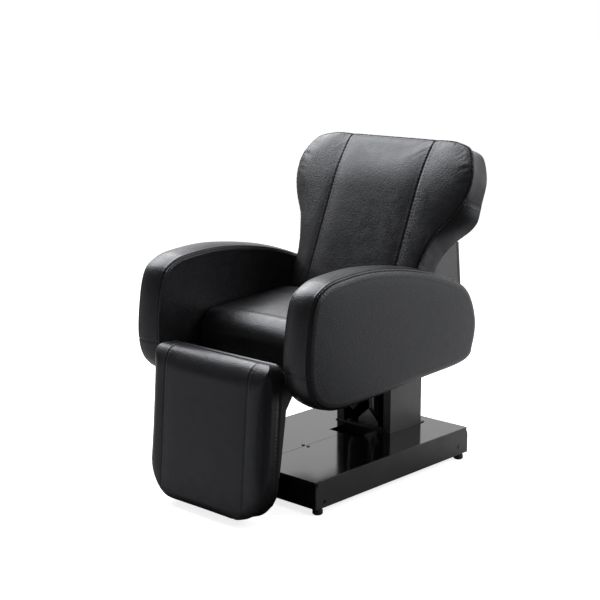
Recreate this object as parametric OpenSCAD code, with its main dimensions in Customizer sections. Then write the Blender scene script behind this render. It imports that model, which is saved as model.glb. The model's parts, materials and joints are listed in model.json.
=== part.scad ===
// Electric shampoo chair: a low sheet-metal base, a lifting column at the rear,
// a padded seat between two deep arms, and a backrest that lies down while the legrest rises.
// X runs to the sitter's left, Y to the rear and Z up. The floor is at Z zero.

/* [Base] */
// Width over the side panels
base_w = 465; // [440:5:500]
// Length from front to rear
base_l = 666; // [650:2:690]
// Distance of the base's middle behind the origin
base_mid_y = 100; // [95:1:106]
// Height of the base's top surface above the floor
base_h = 96; // [94:1:100]
// Gap between the floor and the side panels
base_gap = 21; // [18:1:24]
// Thickness of a side panel
panel_t = 4; // [3:0.5:5]
// Radius of a side panel's upper corners
panel_corner_r = 24; // [8:1:30]
// Thickness of the sheet-metal covers
cover_t = 2; // [1.5:0.5:2.5]
// Gap at the seam between the two covers
cover_seam = 1.2; // [0.8:0.2:2]
// Width of the well in front of the column
well_w = 108; // [90:2:120]
// Length of the well in front of the column
well_l = 88; // [60:2:100]
// Width of a base rail
rail_w = 30; // [26:1:34]
// Height of a base rail
rail_h = 66; // [60:1:68]
// Wall of the base tubes
rail_wall = 2.5; // [2:0.5:3]
// Width of a base cross tube
cross_w = 25; // [22:1:28]
// Distance of the middle cross tube's centre behind the front edge
mid_cross_from_front = 213.5; // [205:0.5:225]
// Thickness of the trays between the cross tubes
tray_t = 3; // [2:0.5:4]

/* [Feet and screws] */
// Diameter of a foot
foot_d = 28; // [24:1:32]
// Height of a foot's pad
foot_h = 15; // [12:1:16]
// Distance of the front feet behind the front edge
foot_from_front = 26; // [20:1:40]
// Distance of the rear feet ahead of the rear edge
foot_from_rear = 18; // [16:1:40]
// Diameter of a foot's threaded stud
stud_d = 10; // [8:1:12]
// Height of a stud's nut
nut_h = 5; // [4:0.5:6]
// Diameter of a cover or panel screw's head
screw_head_d = 9.5; // [8:0.5:11]
// Height of a screw's head
screw_head_h = 1.8; // [1.2:0.2:3]
// Diameter of a screw's shank
screw_d = 5; // [4:0.5:6]
// Length of a screw's shank under its head
screw_l = 9; // [8:0.5:12]
// Distance of a cover screw from the seam
cover_screw_x = 9.5; // [8:0.5:14]
// Distance of the front side screws behind the front edge
side_screw_front = 33; // [30:1:60]
// Distance of the rear side screws ahead of the rear edge
side_screw_rear = 42; // [36:1:60]
// Height of the front side screws above the panel's lower edge
side_screw_front_up = 17; // [14:1:40]
// Height of the rear side screws above the panel's lower edge
side_screw_rear_up = 24; // [14:1:40]

/* [Control box and sockets] */
// Width of the control box
ctrl_w = 130; // [110:5:150]
// Length of the control box
ctrl_l = 130; // [110:5:140]
// Height of the control box without its lid
ctrl_h = 44; // [36:1:50]
// Wall of the control box
ctrl_wall = 2.5; // [2:0.5:3]
// Thickness of the control box's lid
ctrl_lid_t = 3; // [2:0.5:4]
// Width of the power inlet
inlet_w = 32; // [28:1:40]
// Height of the power inlet
inlet_h = 26; // [22:1:30]
// Depth of the power inlet behind its flange
inlet_depth = 22; // [18:1:26]
// Distance of the power inlet from the middle
inlet_x = 70; // [60:1:90]
// Diameter of the handset socket
socket_d = 18; // [14:1:22]
// Distance of the handset socket from the middle
socket_x = 70; // [60:1:90]

/* [Column and lift] */
// Width of the column
column_w = 204; // [196:2:212]
// Depth of the column from front to rear
column_depth = 144; // [138:2:150]
// Distance of the column's front behind the origin
column_y0 = 232; // [226:1:238]
// Wall of the column
column_wall = 4; // [3:0.5:5]
// Width of the lips beside the column's front opening
column_lip = 22; // [16:1:26]
// Gap between the column's top and the mast's head plate
column_head_gap = 5; // [4:0.5:10]
// Thickness of the column's foot plate
foot_plate_t = 5; // [4:0.5:6]
// Overhang of the foot plate behind the column
foot_plate_rear = 13; // [13:1:15]
// Overhang of the foot plate beside the column
foot_plate_side = 2; // [1:0.5:4]
// Overhang of the foot plate ahead of the column
foot_plate_front = 3; // [2:0.5:4]
// Gap between the column and the mast inside it
mast_gap = 5.5; // [4.5:0.5:6.5]
// Wall of the mast
mast_wall = 4; // [3:0.5:5]
// Thickness of the mast's head plate
mast_head_t = 4; // [3:0.5:6]
// Reach of the mast's head plate ahead of the column
mast_head_reach = 17; // [10:1:24]
// Distance that the mast's gussets hang down
gusset_drop = 185; // [160:5:190]
// Thickness of a gusset
gusset_t = 5; // [4:0.5:6]
// Distance of a gusset from the middle
gusset_x = 43; // [41:0.5:50]
// Travel of the lift
lift_stroke = 150; // [120:5:160]
// Height of a guide pad
guide_h = 50; // [40:2:60]
// Running play of the mast in its guides
guide_play = 0.08; // [0.05:0.01:0.1]
// Width of the lift's gearbox
gearbox_w = 76; // [70:1:80]
// Diameter of the lift's outer tube
lift_tube_d = 50; // [46:1:54]
// Diameter of the lift's rod
lift_rod_d = 24; // [20:1:28]
// Diameter of the lift's motor
lift_motor_d = 55; // [50:1:58]
// Length of the lift's motor
lift_motor_l = 105; // [90:5:115]

/* [Seat frame] */
// Height of the seat frame's underside above the floor
seat_frame_z = 337; // [332:1:345]
// Distance of a seat rail's outer face from the middle
seat_rail_x = 225; // [223:0.5:226]
// Width of a seat rail
seat_rail_w = 25; // [23:0.5:26]
// Height of a seat rail
seat_rail_h = 40; // [38:1:44]
// Wall of a seat rail
seat_rail_wall = 3; // [2.5:0.5:4]
// Front end of the seat rails, ahead of the origin
seat_rail_front = 262; // [255:1:265]
// Rear end of the seat rails, behind the origin
seat_rail_rear = 345; // [340:1:350]
// Height of a seat frame cross tube
seat_cross_h = 20; // [18:1:22]
// Width of a seat frame cross tube
seat_cross_w = 25; // [22:1:28]
// Thickness of the mount plate on the mast
mount_plate_t = 10; // [8:1:12]
// Thickness of a hinge ear
ear_t = 8; // [6:0.5:9]
// Radius of the backrest's hinge ears
back_ear_r = 20; // [18:1:22]
// Radius of the legrest's hinge ears
leg_ear_r = 16; // [14:1:18]

/* [Seat] */
// Width of the seat cushion
seat_w = 458; // [450:1:460]
// Front of the seat cushion, ahead of the origin
seat_front = 207; // [200:1:212]
// Rear of the seat cushion, behind the origin
seat_rear = 126; // [118:1:128]
// Height of the seat's surface above the floor
seat_h = 520; // [510:1:530]
// Rise of the seat's middle over its side edges
seat_crown = 22; // [14:1:28]
// Slope of the seat up to the rear, in degrees
seat_slope = 3.3; // [0:0.1:5]
// Radius of the seat's front roll
seat_roll_r = 35; // [25:1:45]
// Thickness of the seat board
seat_board_t = 15; // [12:1:18]

/* [Arms] */
// Distance of an arm's inner face from the middle
arm_x = 231; // [231:0.5:236]
// Thickness of an arm over its upholstery
arm_t = 92; // [84:1:98]
// Length of an arm
arm_l = 698; // [680:2:704]
// Front end of the arms, ahead of the origin
arm_front = 361; // [354:1:370]
// Height of an arm from its lower to its upper edge
arm_h = 333; // [320:1:345]
// Height of the arms' lower edge above the floor
arm_z0 = 316; // [312:1:320]
// Thickness of an arm's wooden core
arm_core_t = 12; // [10:1:15]
// Distance of the core's edge inside the upholstery
arm_core_inset = 5; // [4:0.5:8]
// Crown of an arm's outer face
arm_crown = 4; // [2:0.5:8]

/* [Backrest] */
// Length of the backrest's cushion
back_l = 503; // [490:1:515]
// Width over the backrest's wings
back_w = 638; // [620:2:650]
// Tilt of the backrest at rest, in degrees
back_tilt = 23; // [21:0.5:25]
// Distance of the front surface ahead of the hinge
back_face = 89.4; // [86:0.2:92]
// Distance of the cushion's lower end above the hinge
back_foot = 17; // [17:0.5:20]
// Thickness of the backrest's board
back_board_t = 12; // [10:1:14]
// Drop of the edge seam behind the middle of the front
back_edge_drop = 17; // [12:0.5:20]
// Distance of the sewn seams from the middle
back_seam_x = 153; // [140:1:165]
// Depth of the sewn seams
seam_depth = 5; // [3:0.5:7]
// Half width of the sewn seams
seam_half_w = 7; // [5:0.5:9]
// Length of the roll at the top of the back
back_roll_l = 97; // [80:1:110]
// Depth of the roll at the top of the back
back_roll_drop = 24; // [16:1:28]
// Width of the rear cover
hood_w = 420; // [400:2:424]
// Top of the rear cover above the hinge
hood_top = 435; // [425:1:445]
// Bottom of the rear cover above the hinge
hood_bottom = 110; // [104:1:116]
// Depth of the rear cover at its upper bend
hood_knee_y = 80; // [74:1:84]
// Height of the rear cover's upper bend above the hinge
hood_knee_z = 270; // [262:1:276]
// Depth of the rear cover at its lower bend
hood_heel_y = 141.5; // [136:0.5:143]
// Height of the rear cover's lower bend above the hinge
hood_heel_z = 161; // [156:0.5:168]
// Wall of the rear cover
hood_wall = 2.5; // [2:0.5:3.5]
// Thickness of the rear panel
hood_panel_t = 12; // [8:0.5:13]

/* [Legrest] */
// Width of the legrest
leg_w = 424; // [416:1:426]
// Length of the legrest
leg_l = 413; // [400:1:420]
// Height of the legrest's upper end above its hinge
leg_top = 36; // [30:1:38]
// Tilt of the legrest at rest, in degrees
leg_tilt = 4.4; // [3:0.1:6]
// Distance of the front surface ahead of the hinge
leg_face = 150; // [146:0.5:152]
// Thickness of the legrest's cushion
leg_pad_t = 66; // [60:1:72]
// Thickness of the legrest's board
leg_board_t = 12; // [10:1:14]
// Distance of the sewn seams from the middle
leg_seam_x = 153; // [140:1:165]
// Radius of the roll at the legrest's top
leg_roll_r = 45; // [35:1:50]
// Radius of the legrest's upper corners
leg_top_corner_r = 28; // [20:1:34]
// Radius of the legrest's lower corners
leg_low_corner_r = 86; // [76:1:92]
// Rise of the legrest's middle over its edge seams
leg_crown = 4; // [2:0.5:6]

/* [Hinges and drive] */
// Distance of the backrest's hinge behind the origin
back_pivot_y = 205; // [203:0.5:207]
// Height of the backrest's hinge above the seat rails' underside
back_pivot_up = 95; // [93:0.5:97]
// Distance of the legrest's hinge ahead of the origin
leg_pivot_front = 255; // [253:0.5:257]
// Height of the legrest's hinge above the seat rails' underside
leg_pivot_up = 48; // [47:0.5:49]
// Travel of the backrest in degrees
back_deg = 50; // [44:1:50]
// Travel of the legrest in degrees
leg_deg = 76; // [70:1:76]
// Travel of the push frame
push_stroke = 84; // [80:1:86]
// Diameter of the backrest's hinge pins
back_pin_d = 16; // [14:1:18]
// Diameter of the legrest's hinge pins
leg_pin_d = 12; // [10:1:13]
// Radial play of the hinge pins
hinge_play = 0.05; // [0.02:0.01:0.1]
// Diameter of the drive pins
drive_pin_d = 12; // [10:0.5:13]
// Play of a drive pin in a backrest lever's slot
back_slot_play = 1.6; // [1.4:0.1:2]
// Play of a drive pin in a legrest lever's slot
leg_slot_play = 3.2; // [3:0.1:4]
// Metal around a lever's slot
lever_rim = 6; // [5:0.5:7]
// Thickness of the hinge brackets
bracket_t = 6; // [5:0.5:7]
// Side gap between a bracket and a seat rail
bracket_gap = 4; // [3:0.5:5]
// Thickness of a push bar
push_bar_t = 6; // [5:0.5:7]
// Height of a push bar
push_bar_h = 30; // [28:1:32]
// Side gap between a push bar and a bracket
push_bar_gap = 6; // [5:0.5:8]
// Diameter of the recline rod
recline_rod_d = 20; // [16:1:22]
// Outer diameter of the recline tube
recline_tube_d = 28; // [26:1:29]
// Running play of the recline rod
rod_play = 0.08; // [0.05:0.01:0.1]
// Diameter of the recline motor
recline_motor_d = 44; // [38:1:46]
// Length of the recline motor
recline_motor_l = 100; // [80:5:110]

/* [Hidden] */
$fn = 64;

// Overrun of every cut past the face that it opens
over = 1;
// Clearance of a bolt, screw or stud in its hole
bolt_play = 0.1;
// Side clearance between a moving piece and the washer or head beside it
side_play = 0.3;

// Base places
base_x = base_w / 2;
// Room between the column's foot plate and the sockets in the base's rear
socket_room = 4;
base_y1 = max(base_mid_y + base_l / 2,
    column_y0 + column_depth + foot_plate_rear + inlet_depth + socket_room);
base_y0 = base_y1 - base_l;
rail_x1 = base_x - panel_t;
rail_x0 = rail_x1 - rail_w;
rail_z1 = base_h - cover_t;
rail_z0 = rail_z1 - rail_h;
rail_y0 = base_y0 + cover_t;
rail_y1 = base_y1 - cover_t;
foot_x = (rail_x0 + rail_x1) / 2;
foot_ys = [base_y0 + foot_from_front, base_y1 - foot_from_rear];
mid_cross_y = base_y0 + mid_cross_from_front;
side_screw_places = [[base_y0 + side_screw_front, base_gap + side_screw_front_up],
    [base_y1 - side_screw_rear, base_gap + side_screw_rear_up]];
// Width of a nut across its corners, and the depth of a stud in its foot
nut_d = 18;
stud_sink = 8;
// Gap between the well's edge and the column's foot plate
well_gap = 2;

// Column and mast places
column_x = column_w / 2;
column_y1 = column_y0 + column_depth;
foot_plate_x = column_x + foot_plate_side;
foot_plate_y0 = column_y0 - foot_plate_front;
foot_plate_y1 = column_y1 + foot_plate_rear;
foot_plate_z1 = rail_z1 + foot_plate_t;
mount_plate_z = seat_frame_z - mount_plate_t;
mast_head_z = mount_plate_z - mast_head_t;
column_z1 = mast_head_z - column_head_gap;
mast_x = column_x - column_wall - mast_gap;
mast_y0 = column_y0 + column_wall + mast_gap;
mast_y1 = column_y1 - column_wall - mast_gap;
// Gap between the foot plate and the lowered mast
mast_foot_gap = 3;
mast_z0 = foot_plate_z1 + mast_foot_gap;
// Distance of the guide pads below the column's top
guide_below_top = 6;
guide_z1 = column_z1 - guide_below_top;
guide_z0 = guide_z1 - guide_h;
// Margin of a guide pad at the corners of the mast
guide_margin = 12;
// Rise of a gusset's toe and its reach behind the mast's front
gusset_toe_h = 22;
gusset_toe_y = 10;
gusset_heel_h = 62;
// Shank and head of the structural bolts
bolt_d = 8;
bolt_head_h = 5.5;
bolt_head_d = 13;
// Distance of the column's bolts from the middle
column_bolt_x = 62;
column_bolt_ys = [foot_plate_y0 + cross_w / 2, foot_plate_y1 - bolt_head_d / 2];
// Distance of the bolts between the mast and the mount plate from the middle and from the edges
mount_bolt_x = 70;
mount_bolt_inset = 20;

// Lift places
// Gap between the gearbox and the cross tube ahead of it
gearbox_gap = 1;
gearbox_y0 = foot_plate_y0 + cross_w + gearbox_gap;
// Length of the gearbox's pointed front
gearbox_gable_l = 10;
lift_y = gearbox_y0 + gearbox_gable_l + lift_tube_d / 2 + bolt_play;
// Metal of the gearbox behind the tube
gearbox_back = 12;
gearbox_y1 = lift_y + lift_tube_d / 2 + gearbox_back;
// Rise of the gearbox's body over the base and height of its pointed front
gearbox_rise = 14;
gearbox_gable_h = 35;
gearbox_z1 = base_h + gearbox_rise;
lift_pan_z1 = rail_z0 + tray_t;
// Gap between the motor and the pan under it
motor_gap = 3;
lift_motor_z = lift_pan_z1 + motor_gap + lift_motor_d / 2;
// Distance of the tube's top below the mast's head
lift_head_gap = 33;
lift_tube_z1 = mast_head_z - lift_head_gap;
// Length of the rod that stays in its tube when raised
lift_rod_hold = 24;
lift_rod_z0 = lift_tube_z1 - lift_stroke - lift_rod_hold;
// Depth of the tube's bore below the rod
lift_bore_gap = 5;

// Seat frame places
seat_rail_z1 = seat_frame_z + seat_rail_h;
seat_rail_x0 = seat_rail_x - seat_rail_w;
seat_cross_z0 = seat_rail_z1 - seat_cross_h;
seat_x = seat_w / 2;
seat_y0 = -seat_front;
seat_y1 = seat_rear;
seat_board_z1 = seat_rail_z1 + seat_board_t;
// Distance of the seat board's edge inside the cushion
seat_board_inset = 7;
// Distance of the mount plate behind the backrest's hinge
mount_plate_setback = 63;
mount_plate_y0 = back_pivot_y + mount_plate_setback;
mount_plate_y1 = mast_y1 + mast_gap;
back_pivot_z = seat_frame_z + back_pivot_up;
leg_pivot_y = -leg_pivot_front;
leg_pivot_z = seat_frame_z + leg_pivot_up;
// Half width of a backrest ear's foot and of a legrest ear's foot
back_ear_foot = 38;
leg_ear_foot = 15;

// Drive places
bracket_x1 = seat_rail_x0 - bracket_gap;
bracket_x0 = bracket_x1 - bracket_t;
push_bar_x1 = bracket_x0 - push_bar_gap;
push_bar_x0 = push_bar_x1 - push_bar_t;
drive_pin_x1 = bracket_x1 + bracket_gap / 2;
back_lever_deg = back_deg / 2;
leg_lever_deg = leg_deg / 2;
back_lever_h = push_stroke / 2 / tan(back_lever_deg);
leg_lever_h = push_stroke / 2 / tan(leg_lever_deg);
back_drive_y = back_pivot_y + push_stroke / 2;
back_drive_z = back_pivot_z - back_lever_h;
leg_drive_y = leg_pivot_y + push_stroke / 2;
leg_drive_z = leg_pivot_z - leg_lever_h;
push_z = (back_drive_z + leg_drive_z) / 2;
push_y0 = leg_drive_y - drive_pin_d;
push_y1 = back_drive_y + drive_pin_d;
// Heads of the hinge pins and rings that hold them
pin_head_t = 3.5;
pin_head_d = 24;
ring_t = 3;
back_ring_d = 22;
leg_ring_d = 15;
washer_w = 6;
// Thickness and height of the crosshead, and the step between it and the rear drive pins
crosshead_t = 18;
crosshead_h = 18;
crosshead_step = 4;
crosshead_y1 = back_drive_y - crosshead_step;
crosshead_y0 = crosshead_y1 - crosshead_t;
// Places of the seat frame's cross tubes
seat_cross_front_inset = 17;
seat_cross_mid_inset = 66;
seat_cross_rear_gap = 15;
seat_cross_ys = [seat_y0 + seat_cross_front_inset, seat_y1 - seat_cross_mid_inset,
    back_drive_y + seat_cross_rear_gap];
// Width, length and height of the recline gearbox
recline_box_w = 60;
recline_box_l = 40;
recline_box_h = 39;
recline_box_y0 = seat_cross_ys[0];
recline_box_y1 = recline_box_y0 + recline_box_l;
recline_motor_z = seat_cross_z0 - recline_motor_d / 2 - motor_gap;
// Gap between the crosshead and the tube at the end of the stroke
recline_tube_gap = 11;
recline_tube_y1 = crosshead_y0 - push_stroke - recline_tube_gap;
// Length of the rod that stays in its tube when the crosshead is out
recline_rod_hold = 36;
recline_rod_y0 = recline_tube_y1 - recline_rod_hold;
recline_bore_y0 = recline_rod_y0 - push_stroke - motor_gap;
// Width of the clamp round the recline tube
clamp_w = 48;
clamp_under = 3;

// Arm places
arm_y0 = -arm_front;
arm_pad_x0 = arm_x + arm_core_t;
arm_x1 = arm_x + arm_t;
// Outline of an arm as shares of its length and height
arm_shares = [[0.035, 0.125], [0.13, 0.012], [0.30, 0.004], [0.65, 0.044], [0.93, 0.08],
    [0.985, 0.20], [0.998, 0.42], [0.94, 0.665], [0.80, 0.812], [0.60, 0.932], [0.36, 0.998],
    [0.165, 0.981], [0.085, 0.935], [0.038, 0.85], [0.012, 0.65], [0.001, 0.33]];
arm_steps = 3;
// Shares of the outline that the rings of an arm's outer face keep
arm_face_shares = [0.84, 0.5];
// Places of the two bolts through each arm, and the size of the bracket round them
arm_bolt_ys = [-120, 150];
arm_bracket_l = 60;
arm_bracket_h = 34;
arm_bolt_z = seat_frame_z + seat_rail_h / 2;
// Length of a bolt inside the arm's core
arm_bolt_bite = 9;

// Backrest places, measured from its hinge along the tilted back
back_top = back_foot + back_l;
back_rear = -back_board_t;
// Half widths of the back as shares of its length and of half its width
back_width_shares = [[0, 0.692], [0.12, 0.692], [0.24, 0.692], [0.338, 0.716], [0.465, 0.782],
    [0.537, 0.853], [0.602, 0.921], [0.68, 0.975], [0.753, 0.998], [0.833, 0.988],
    [0.93, 0.92], [0.975, 0.845], [1, 0.70]];
back_steps = 2;
// Flare of the back's rear edges below the shoulders, its height and its spread, as shares
back_flare_w = 34;
back_flare_at = 0.555;
back_flare_spread = 0.11;
// Distance of the board's edge inside the cushion
board_inset = 6;
// Height of a back bracket's web and flange, and their sizes
bracket_top = 300;
bracket_flange_w = 26;
bracket_flange_t = 4;
bracket_flange_z0 = 62;
bracket_web_w = 34;
bracket_tip_w = 14;
bracket_screw_inset = 24;
// Room for a bracket where it passes through the rear cover's sides
bracket_room = 1;
back_board_foot = 13;
// Length of the rear cover's open mouth behind the board
hood_mouth = 42;

// Legrest places, measured from its hinge along the tilted rest
leg_bottom = leg_top - leg_l;
leg_rear = leg_pad_t - leg_face;
leg_board_rear = leg_rear + leg_board_t;
leg_web_w = 26;
leg_web_top = 12;
leg_bracket_drop = 262;

// A box between two corners
module box(a, b) {
    translate(a) cube(b - a);
}

// The same piece on both sides of the middle
module both_sides() {
    children();
    mirror([1, 0, 0]) children();
}

module rod_x(x0, x1, y, z, d) {
    translate([x0, y, z]) rotate([0, 90, 0]) cylinder(d = d, h = x1 - x0);
}

module rod_y(y0, y1, x, z, d) {
    translate([x, y0, z]) rotate([-90, 0, 0]) cylinder(d = d, h = y1 - y0);
}

module rod_z(z0, z1, x, y, d) {
    translate([x, y, z0]) cylinder(d = d, h = z1 - z0);
}

// A plate whose outline lies in Y and Z and whose thickness runs along X
module side_plate(x0, x1) {
    translate([x0, 0, 0]) rotate([90, 0, 90]) linear_extrude(x1 - x0) children();
}

// A plate whose outline lies in X and Z and whose thickness runs along Y
module front_plate(y0, y1) {
    translate([0, y1, 0]) rotate([90, 0, 0]) linear_extrude(y1 - y0) children();
}

module tube_along_x(a, b, wall) {
    difference() {
        box(a, b);
        box(a + [-over, wall, wall], b + [over, -wall, -wall]);
    }
}

module tube_along_y(a, b, wall) {
    difference() {
        box(a, b);
        box(a + [wall, -over, wall], b + [-wall, over, -wall]);
    }
}

// The frames of the two hinged bodies at rest
module in_back() {
    translate([0, back_pivot_y, back_pivot_z]) rotate([-back_tilt, 0, 0]) children();
}

module in_leg() {
    translate([0, leg_pivot_y, leg_pivot_z]) rotate([-leg_tilt, 0, 0]) children();
}

// A smooth curve through points, closed or open
function curve_point(a, b, c, d, t) =
    b + (c - a) * t / 2 + (a - 5 * b / 2 + 2 * c - d / 2) * t * t
    + (3 * b - a - 3 * c + d) * t * t * t / 2;
function smooth_loop(p, steps) = [for (i = [0:len(p) - 1]) for (k = [0:steps - 1])
    curve_point(p[(i + len(p) - 1) % len(p)], p[i], p[(i + 1) % len(p)],
        p[(i + 2) % len(p)], k / steps)];
function smooth_run(p, steps) = concat([for (i = [0:len(p) - 2]) for (k = [0:steps - 1])
    curve_point(p[max(i - 1, 0)], p[i], p[i + 1], p[min(i + 2, len(p) - 1)], k / steps)],
    [p[len(p) - 1]]);

// A closed outline moved inwards, for points that run anticlockwise
function inset_loop(p, d) = [for (i = [0:len(p) - 1])
    let (t = p[(i + 1) % len(p)] - p[(i + len(p) - 1) % len(p)])
    p[i] + [-t[1], t[0]] * d / norm(t)];

// A closed solid through rings of points, each with the same number of points
module loft(rings) {
    n = len(rings[0]);
    last = len(rings) - 1;
    points = [for (ring = rings) for (p = ring) p];
    sides = [for (i = [0:last - 1]) for (j = [0:n - 1]) for (half = [0:1])
        let (k = (j + 1) % n)
        half == 0 ? [i * n + j, (i + 1) * n + j, (i + 1) * n + k]
            : [i * n + j, (i + 1) * n + k, i * n + k]];
    first_cap = [for (j = [0:n - 1]) j];
    last_cap = [for (j = [0:n - 1]) last * n + n - 1 - j];
    polyhedron(points = points, faces = concat(sides, [first_cap, last_cap]));
}

// Base frame
module base_rail() {
    difference() {
        tube_along_y([rail_x0, rail_y0, rail_z0], [rail_x1, rail_y1, rail_z1], rail_wall);
        for (y = foot_ys) {
            rod_z(rail_z0 - over, rail_z0 + rail_wall + over, foot_x, y, stud_d + 2 * bolt_play);
        }
        for (p = side_screw_places) {
            rod_x(rail_x1 - rail_wall - over, rail_x1 + over, p[0], p[1],
                screw_d + 2 * bolt_play);
        }
    }
}

module base_rail_left() {
    color("#26262a") base_rail();
}

module base_rail_right() {
    color("#26262a") mirror([1, 0, 0]) base_rail();
}

module base_cross_tube(y0) {
    tube_along_x([-rail_x0, y0, rail_z0], [rail_x0, y0 + cross_w, rail_z1], rail_wall);
}

module base_cross_members() {
    front_y1 = rail_y0 + cross_w;
    mid_y0 = mid_cross_y - cross_w / 2;
    color("#26262a") difference() {
        union() {
            base_cross_tube(rail_y0);
            base_cross_tube(mid_y0);
            base_cross_tube(foot_plate_y0);
            base_cross_tube(foot_plate_y1 - cross_w);
            box([-ctrl_w, front_y1, rail_z0], [ctrl_w, mid_y0, rail_z0 + tray_t]);
            box([-rail_x0, foot_plate_y0 + cross_w, rail_z0],
                [rail_x0, foot_plate_y1 - cross_w, lift_pan_z1]);
        }
        for (s = [-1, 1]) {
            rod_z(rail_z1 - rail_wall - over, rail_z1 + over, s * cover_screw_x, mid_cross_y,
                screw_d + 2 * bolt_play);
            for (y = column_bolt_ys) {
                rod_z(rail_z1 - rail_wall - over, rail_z1 + over, s * column_bolt_x, y,
                    bolt_d + 2 * bolt_play);
            }
        }
    }
}

module base_cover() {
    difference() {
        union() {
            box([cover_seam / 2, base_y0, rail_z1], [rail_x1, base_y1, base_h]);
            box([cover_seam / 2, base_y0, base_gap], [rail_x1, rail_y0, rail_z1]);
            box([cover_seam / 2, rail_y1, base_gap], [rail_x1, base_y1, rail_z1]);
        }
        box([-over, foot_plate_y0 - well_l, rail_z1 - over],
            [well_w / 2, foot_plate_y0, base_h + over]);
        box([-over, foot_plate_y0 - well_gap, rail_z1 - over],
            [foot_plate_x + well_gap, foot_plate_y1 + well_gap, base_h + over]);
        rod_z(rail_z1 - over, base_h + over, cover_screw_x, mid_cross_y,
            screw_d + 2 * bolt_play);
    }
}

// The left cover carries the handset socket and the right cover the power inlet
module base_cover_left() {
    color("#1b1b1d") difference() {
        base_cover();
        rod_y(rail_y1 - over, base_y1 + over, socket_x, rail_z1 - rail_h / 2,
            socket_d + 2 * bolt_play);
    }
}

module base_cover_right() {
    color("#1b1b1d") difference() {
        mirror([1, 0, 0]) base_cover();
        box([-inlet_x - inlet_w / 2 - bolt_play, rail_y1 - over,
                rail_z1 - rail_h / 2 - inlet_h / 2 - bolt_play],
            [-inlet_x + inlet_w / 2 + bolt_play, base_y1 + over,
                rail_z1 - rail_h / 2 + inlet_h / 2 + bolt_play]);
    }
}

module side_panel() {
    difference() {
        side_plate(rail_x1, base_x) union() {
            translate([base_y0, base_gap]) square([base_l, base_h - base_gap - panel_corner_r]);
            translate([base_y0 + panel_corner_r, base_gap])
                square([base_l - 2 * panel_corner_r, base_h - base_gap]);
            for (y = [base_y0 + panel_corner_r, base_y1 - panel_corner_r]) {
                translate([y, base_h - panel_corner_r]) circle(r = panel_corner_r);
            }
        }
        for (p = side_screw_places) {
            rod_x(rail_x1 - over, base_x + over, p[0], p[1], screw_d + 2 * bolt_play);
        }
    }
}

module side_panel_left() {
    color("#3a3a3d") side_panel();
}

module side_panel_right() {
    color("#3a3a3d") mirror([1, 0, 0]) side_panel();
}

module cover_screws() {
    color("#141414") for (s = [-1, 1]) {
        rod_z(base_h - screw_l, base_h, s * cover_screw_x, mid_cross_y, screw_d);
        rod_z(base_h, base_h + screw_head_h, s * cover_screw_x, mid_cross_y, screw_head_d);
    }
}

module side_screws() {
    color("#141414") both_sides() for (p = side_screw_places) {
        rod_x(base_x - screw_l, base_x, p[0], p[1], screw_d);
        rod_x(base_x, base_x + screw_head_h, p[0], p[1], screw_head_d);
    }
}

// Feet: a rubber pad that takes a threaded stud
module levelling_feet() {
    foot_edge = foot_d / 10;
    color("#101010") both_sides() for (y = foot_ys) {
        difference() {
            translate([foot_x, y, 0]) rotate_extrude() polygon([[0, 0], [foot_d / 2 - foot_edge, 0],
                [foot_d / 2, foot_edge], [foot_d / 2, foot_h - foot_edge],
                [foot_d / 2 - foot_edge, foot_h], [0, foot_h]]);
            rod_z(foot_h - stud_sink, foot_h + over, foot_x, y, stud_d + 2 * bolt_play);
        }
    }
}

module foot_studs() {
    color("#8b8d90") both_sides() for (y = foot_ys) {
        rod_z(foot_h - stud_sink, rail_z0 + rail_wall + nut_h, foot_x, y, stud_d);
        translate([foot_x, y, rail_z0 - nut_h]) cylinder(d = nut_d, h = nut_h, $fn = 6);
    }
}

// Control box on the front tray
ctrl_gap = 8;
ctrl_y0 = rail_y0 + cross_w + ctrl_gap;
ctrl_z0 = rail_z0 + tray_t;

module control_box() {
    color("#2b2b2e") difference() {
        box([-ctrl_w / 2, ctrl_y0, ctrl_z0], [ctrl_w / 2, ctrl_y0 + ctrl_l, ctrl_z0 + ctrl_h]);
        box([-ctrl_w / 2 + ctrl_wall, ctrl_y0 + ctrl_wall, ctrl_z0 + ctrl_wall],
            [ctrl_w / 2 - ctrl_wall, ctrl_y0 + ctrl_l - ctrl_wall, ctrl_z0 + ctrl_h + over]);
    }
}

module control_box_lid() {
    color("#333337") box([-ctrl_w / 2, ctrl_y0, ctrl_z0 + ctrl_h],
        [ctrl_w / 2, ctrl_y0 + ctrl_l, ctrl_z0 + ctrl_h + ctrl_lid_t]);
}

// Power inlet: a socket body with a flange on the cover's rear face
inlet_rim = 5;
inlet_flange_t = 1.5;
inlet_wall = 3;

module power_inlet() {
    inlet_z = rail_z1 - rail_h / 2;
    color("#17171a") difference() {
        union() {
            box([-inlet_x - inlet_w / 2, base_y1 - inlet_depth, inlet_z - inlet_h / 2],
                [-inlet_x + inlet_w / 2, base_y1, inlet_z + inlet_h / 2]);
            box([-inlet_x - inlet_w / 2 - inlet_rim, base_y1, inlet_z - inlet_h / 2 - inlet_rim],
                [-inlet_x + inlet_w / 2 + inlet_rim, base_y1 + inlet_flange_t,
                    inlet_z + inlet_h / 2 + inlet_rim]);
        }
        box([-inlet_x - inlet_w / 2 + inlet_wall, base_y1 - inlet_depth + inlet_wall,
                inlet_z - inlet_h / 2 + inlet_wall],
            [-inlet_x + inlet_w / 2 - inlet_wall, base_y1 + inlet_flange_t + over,
                inlet_z + inlet_h / 2 - inlet_wall]);
    }
}

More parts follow.
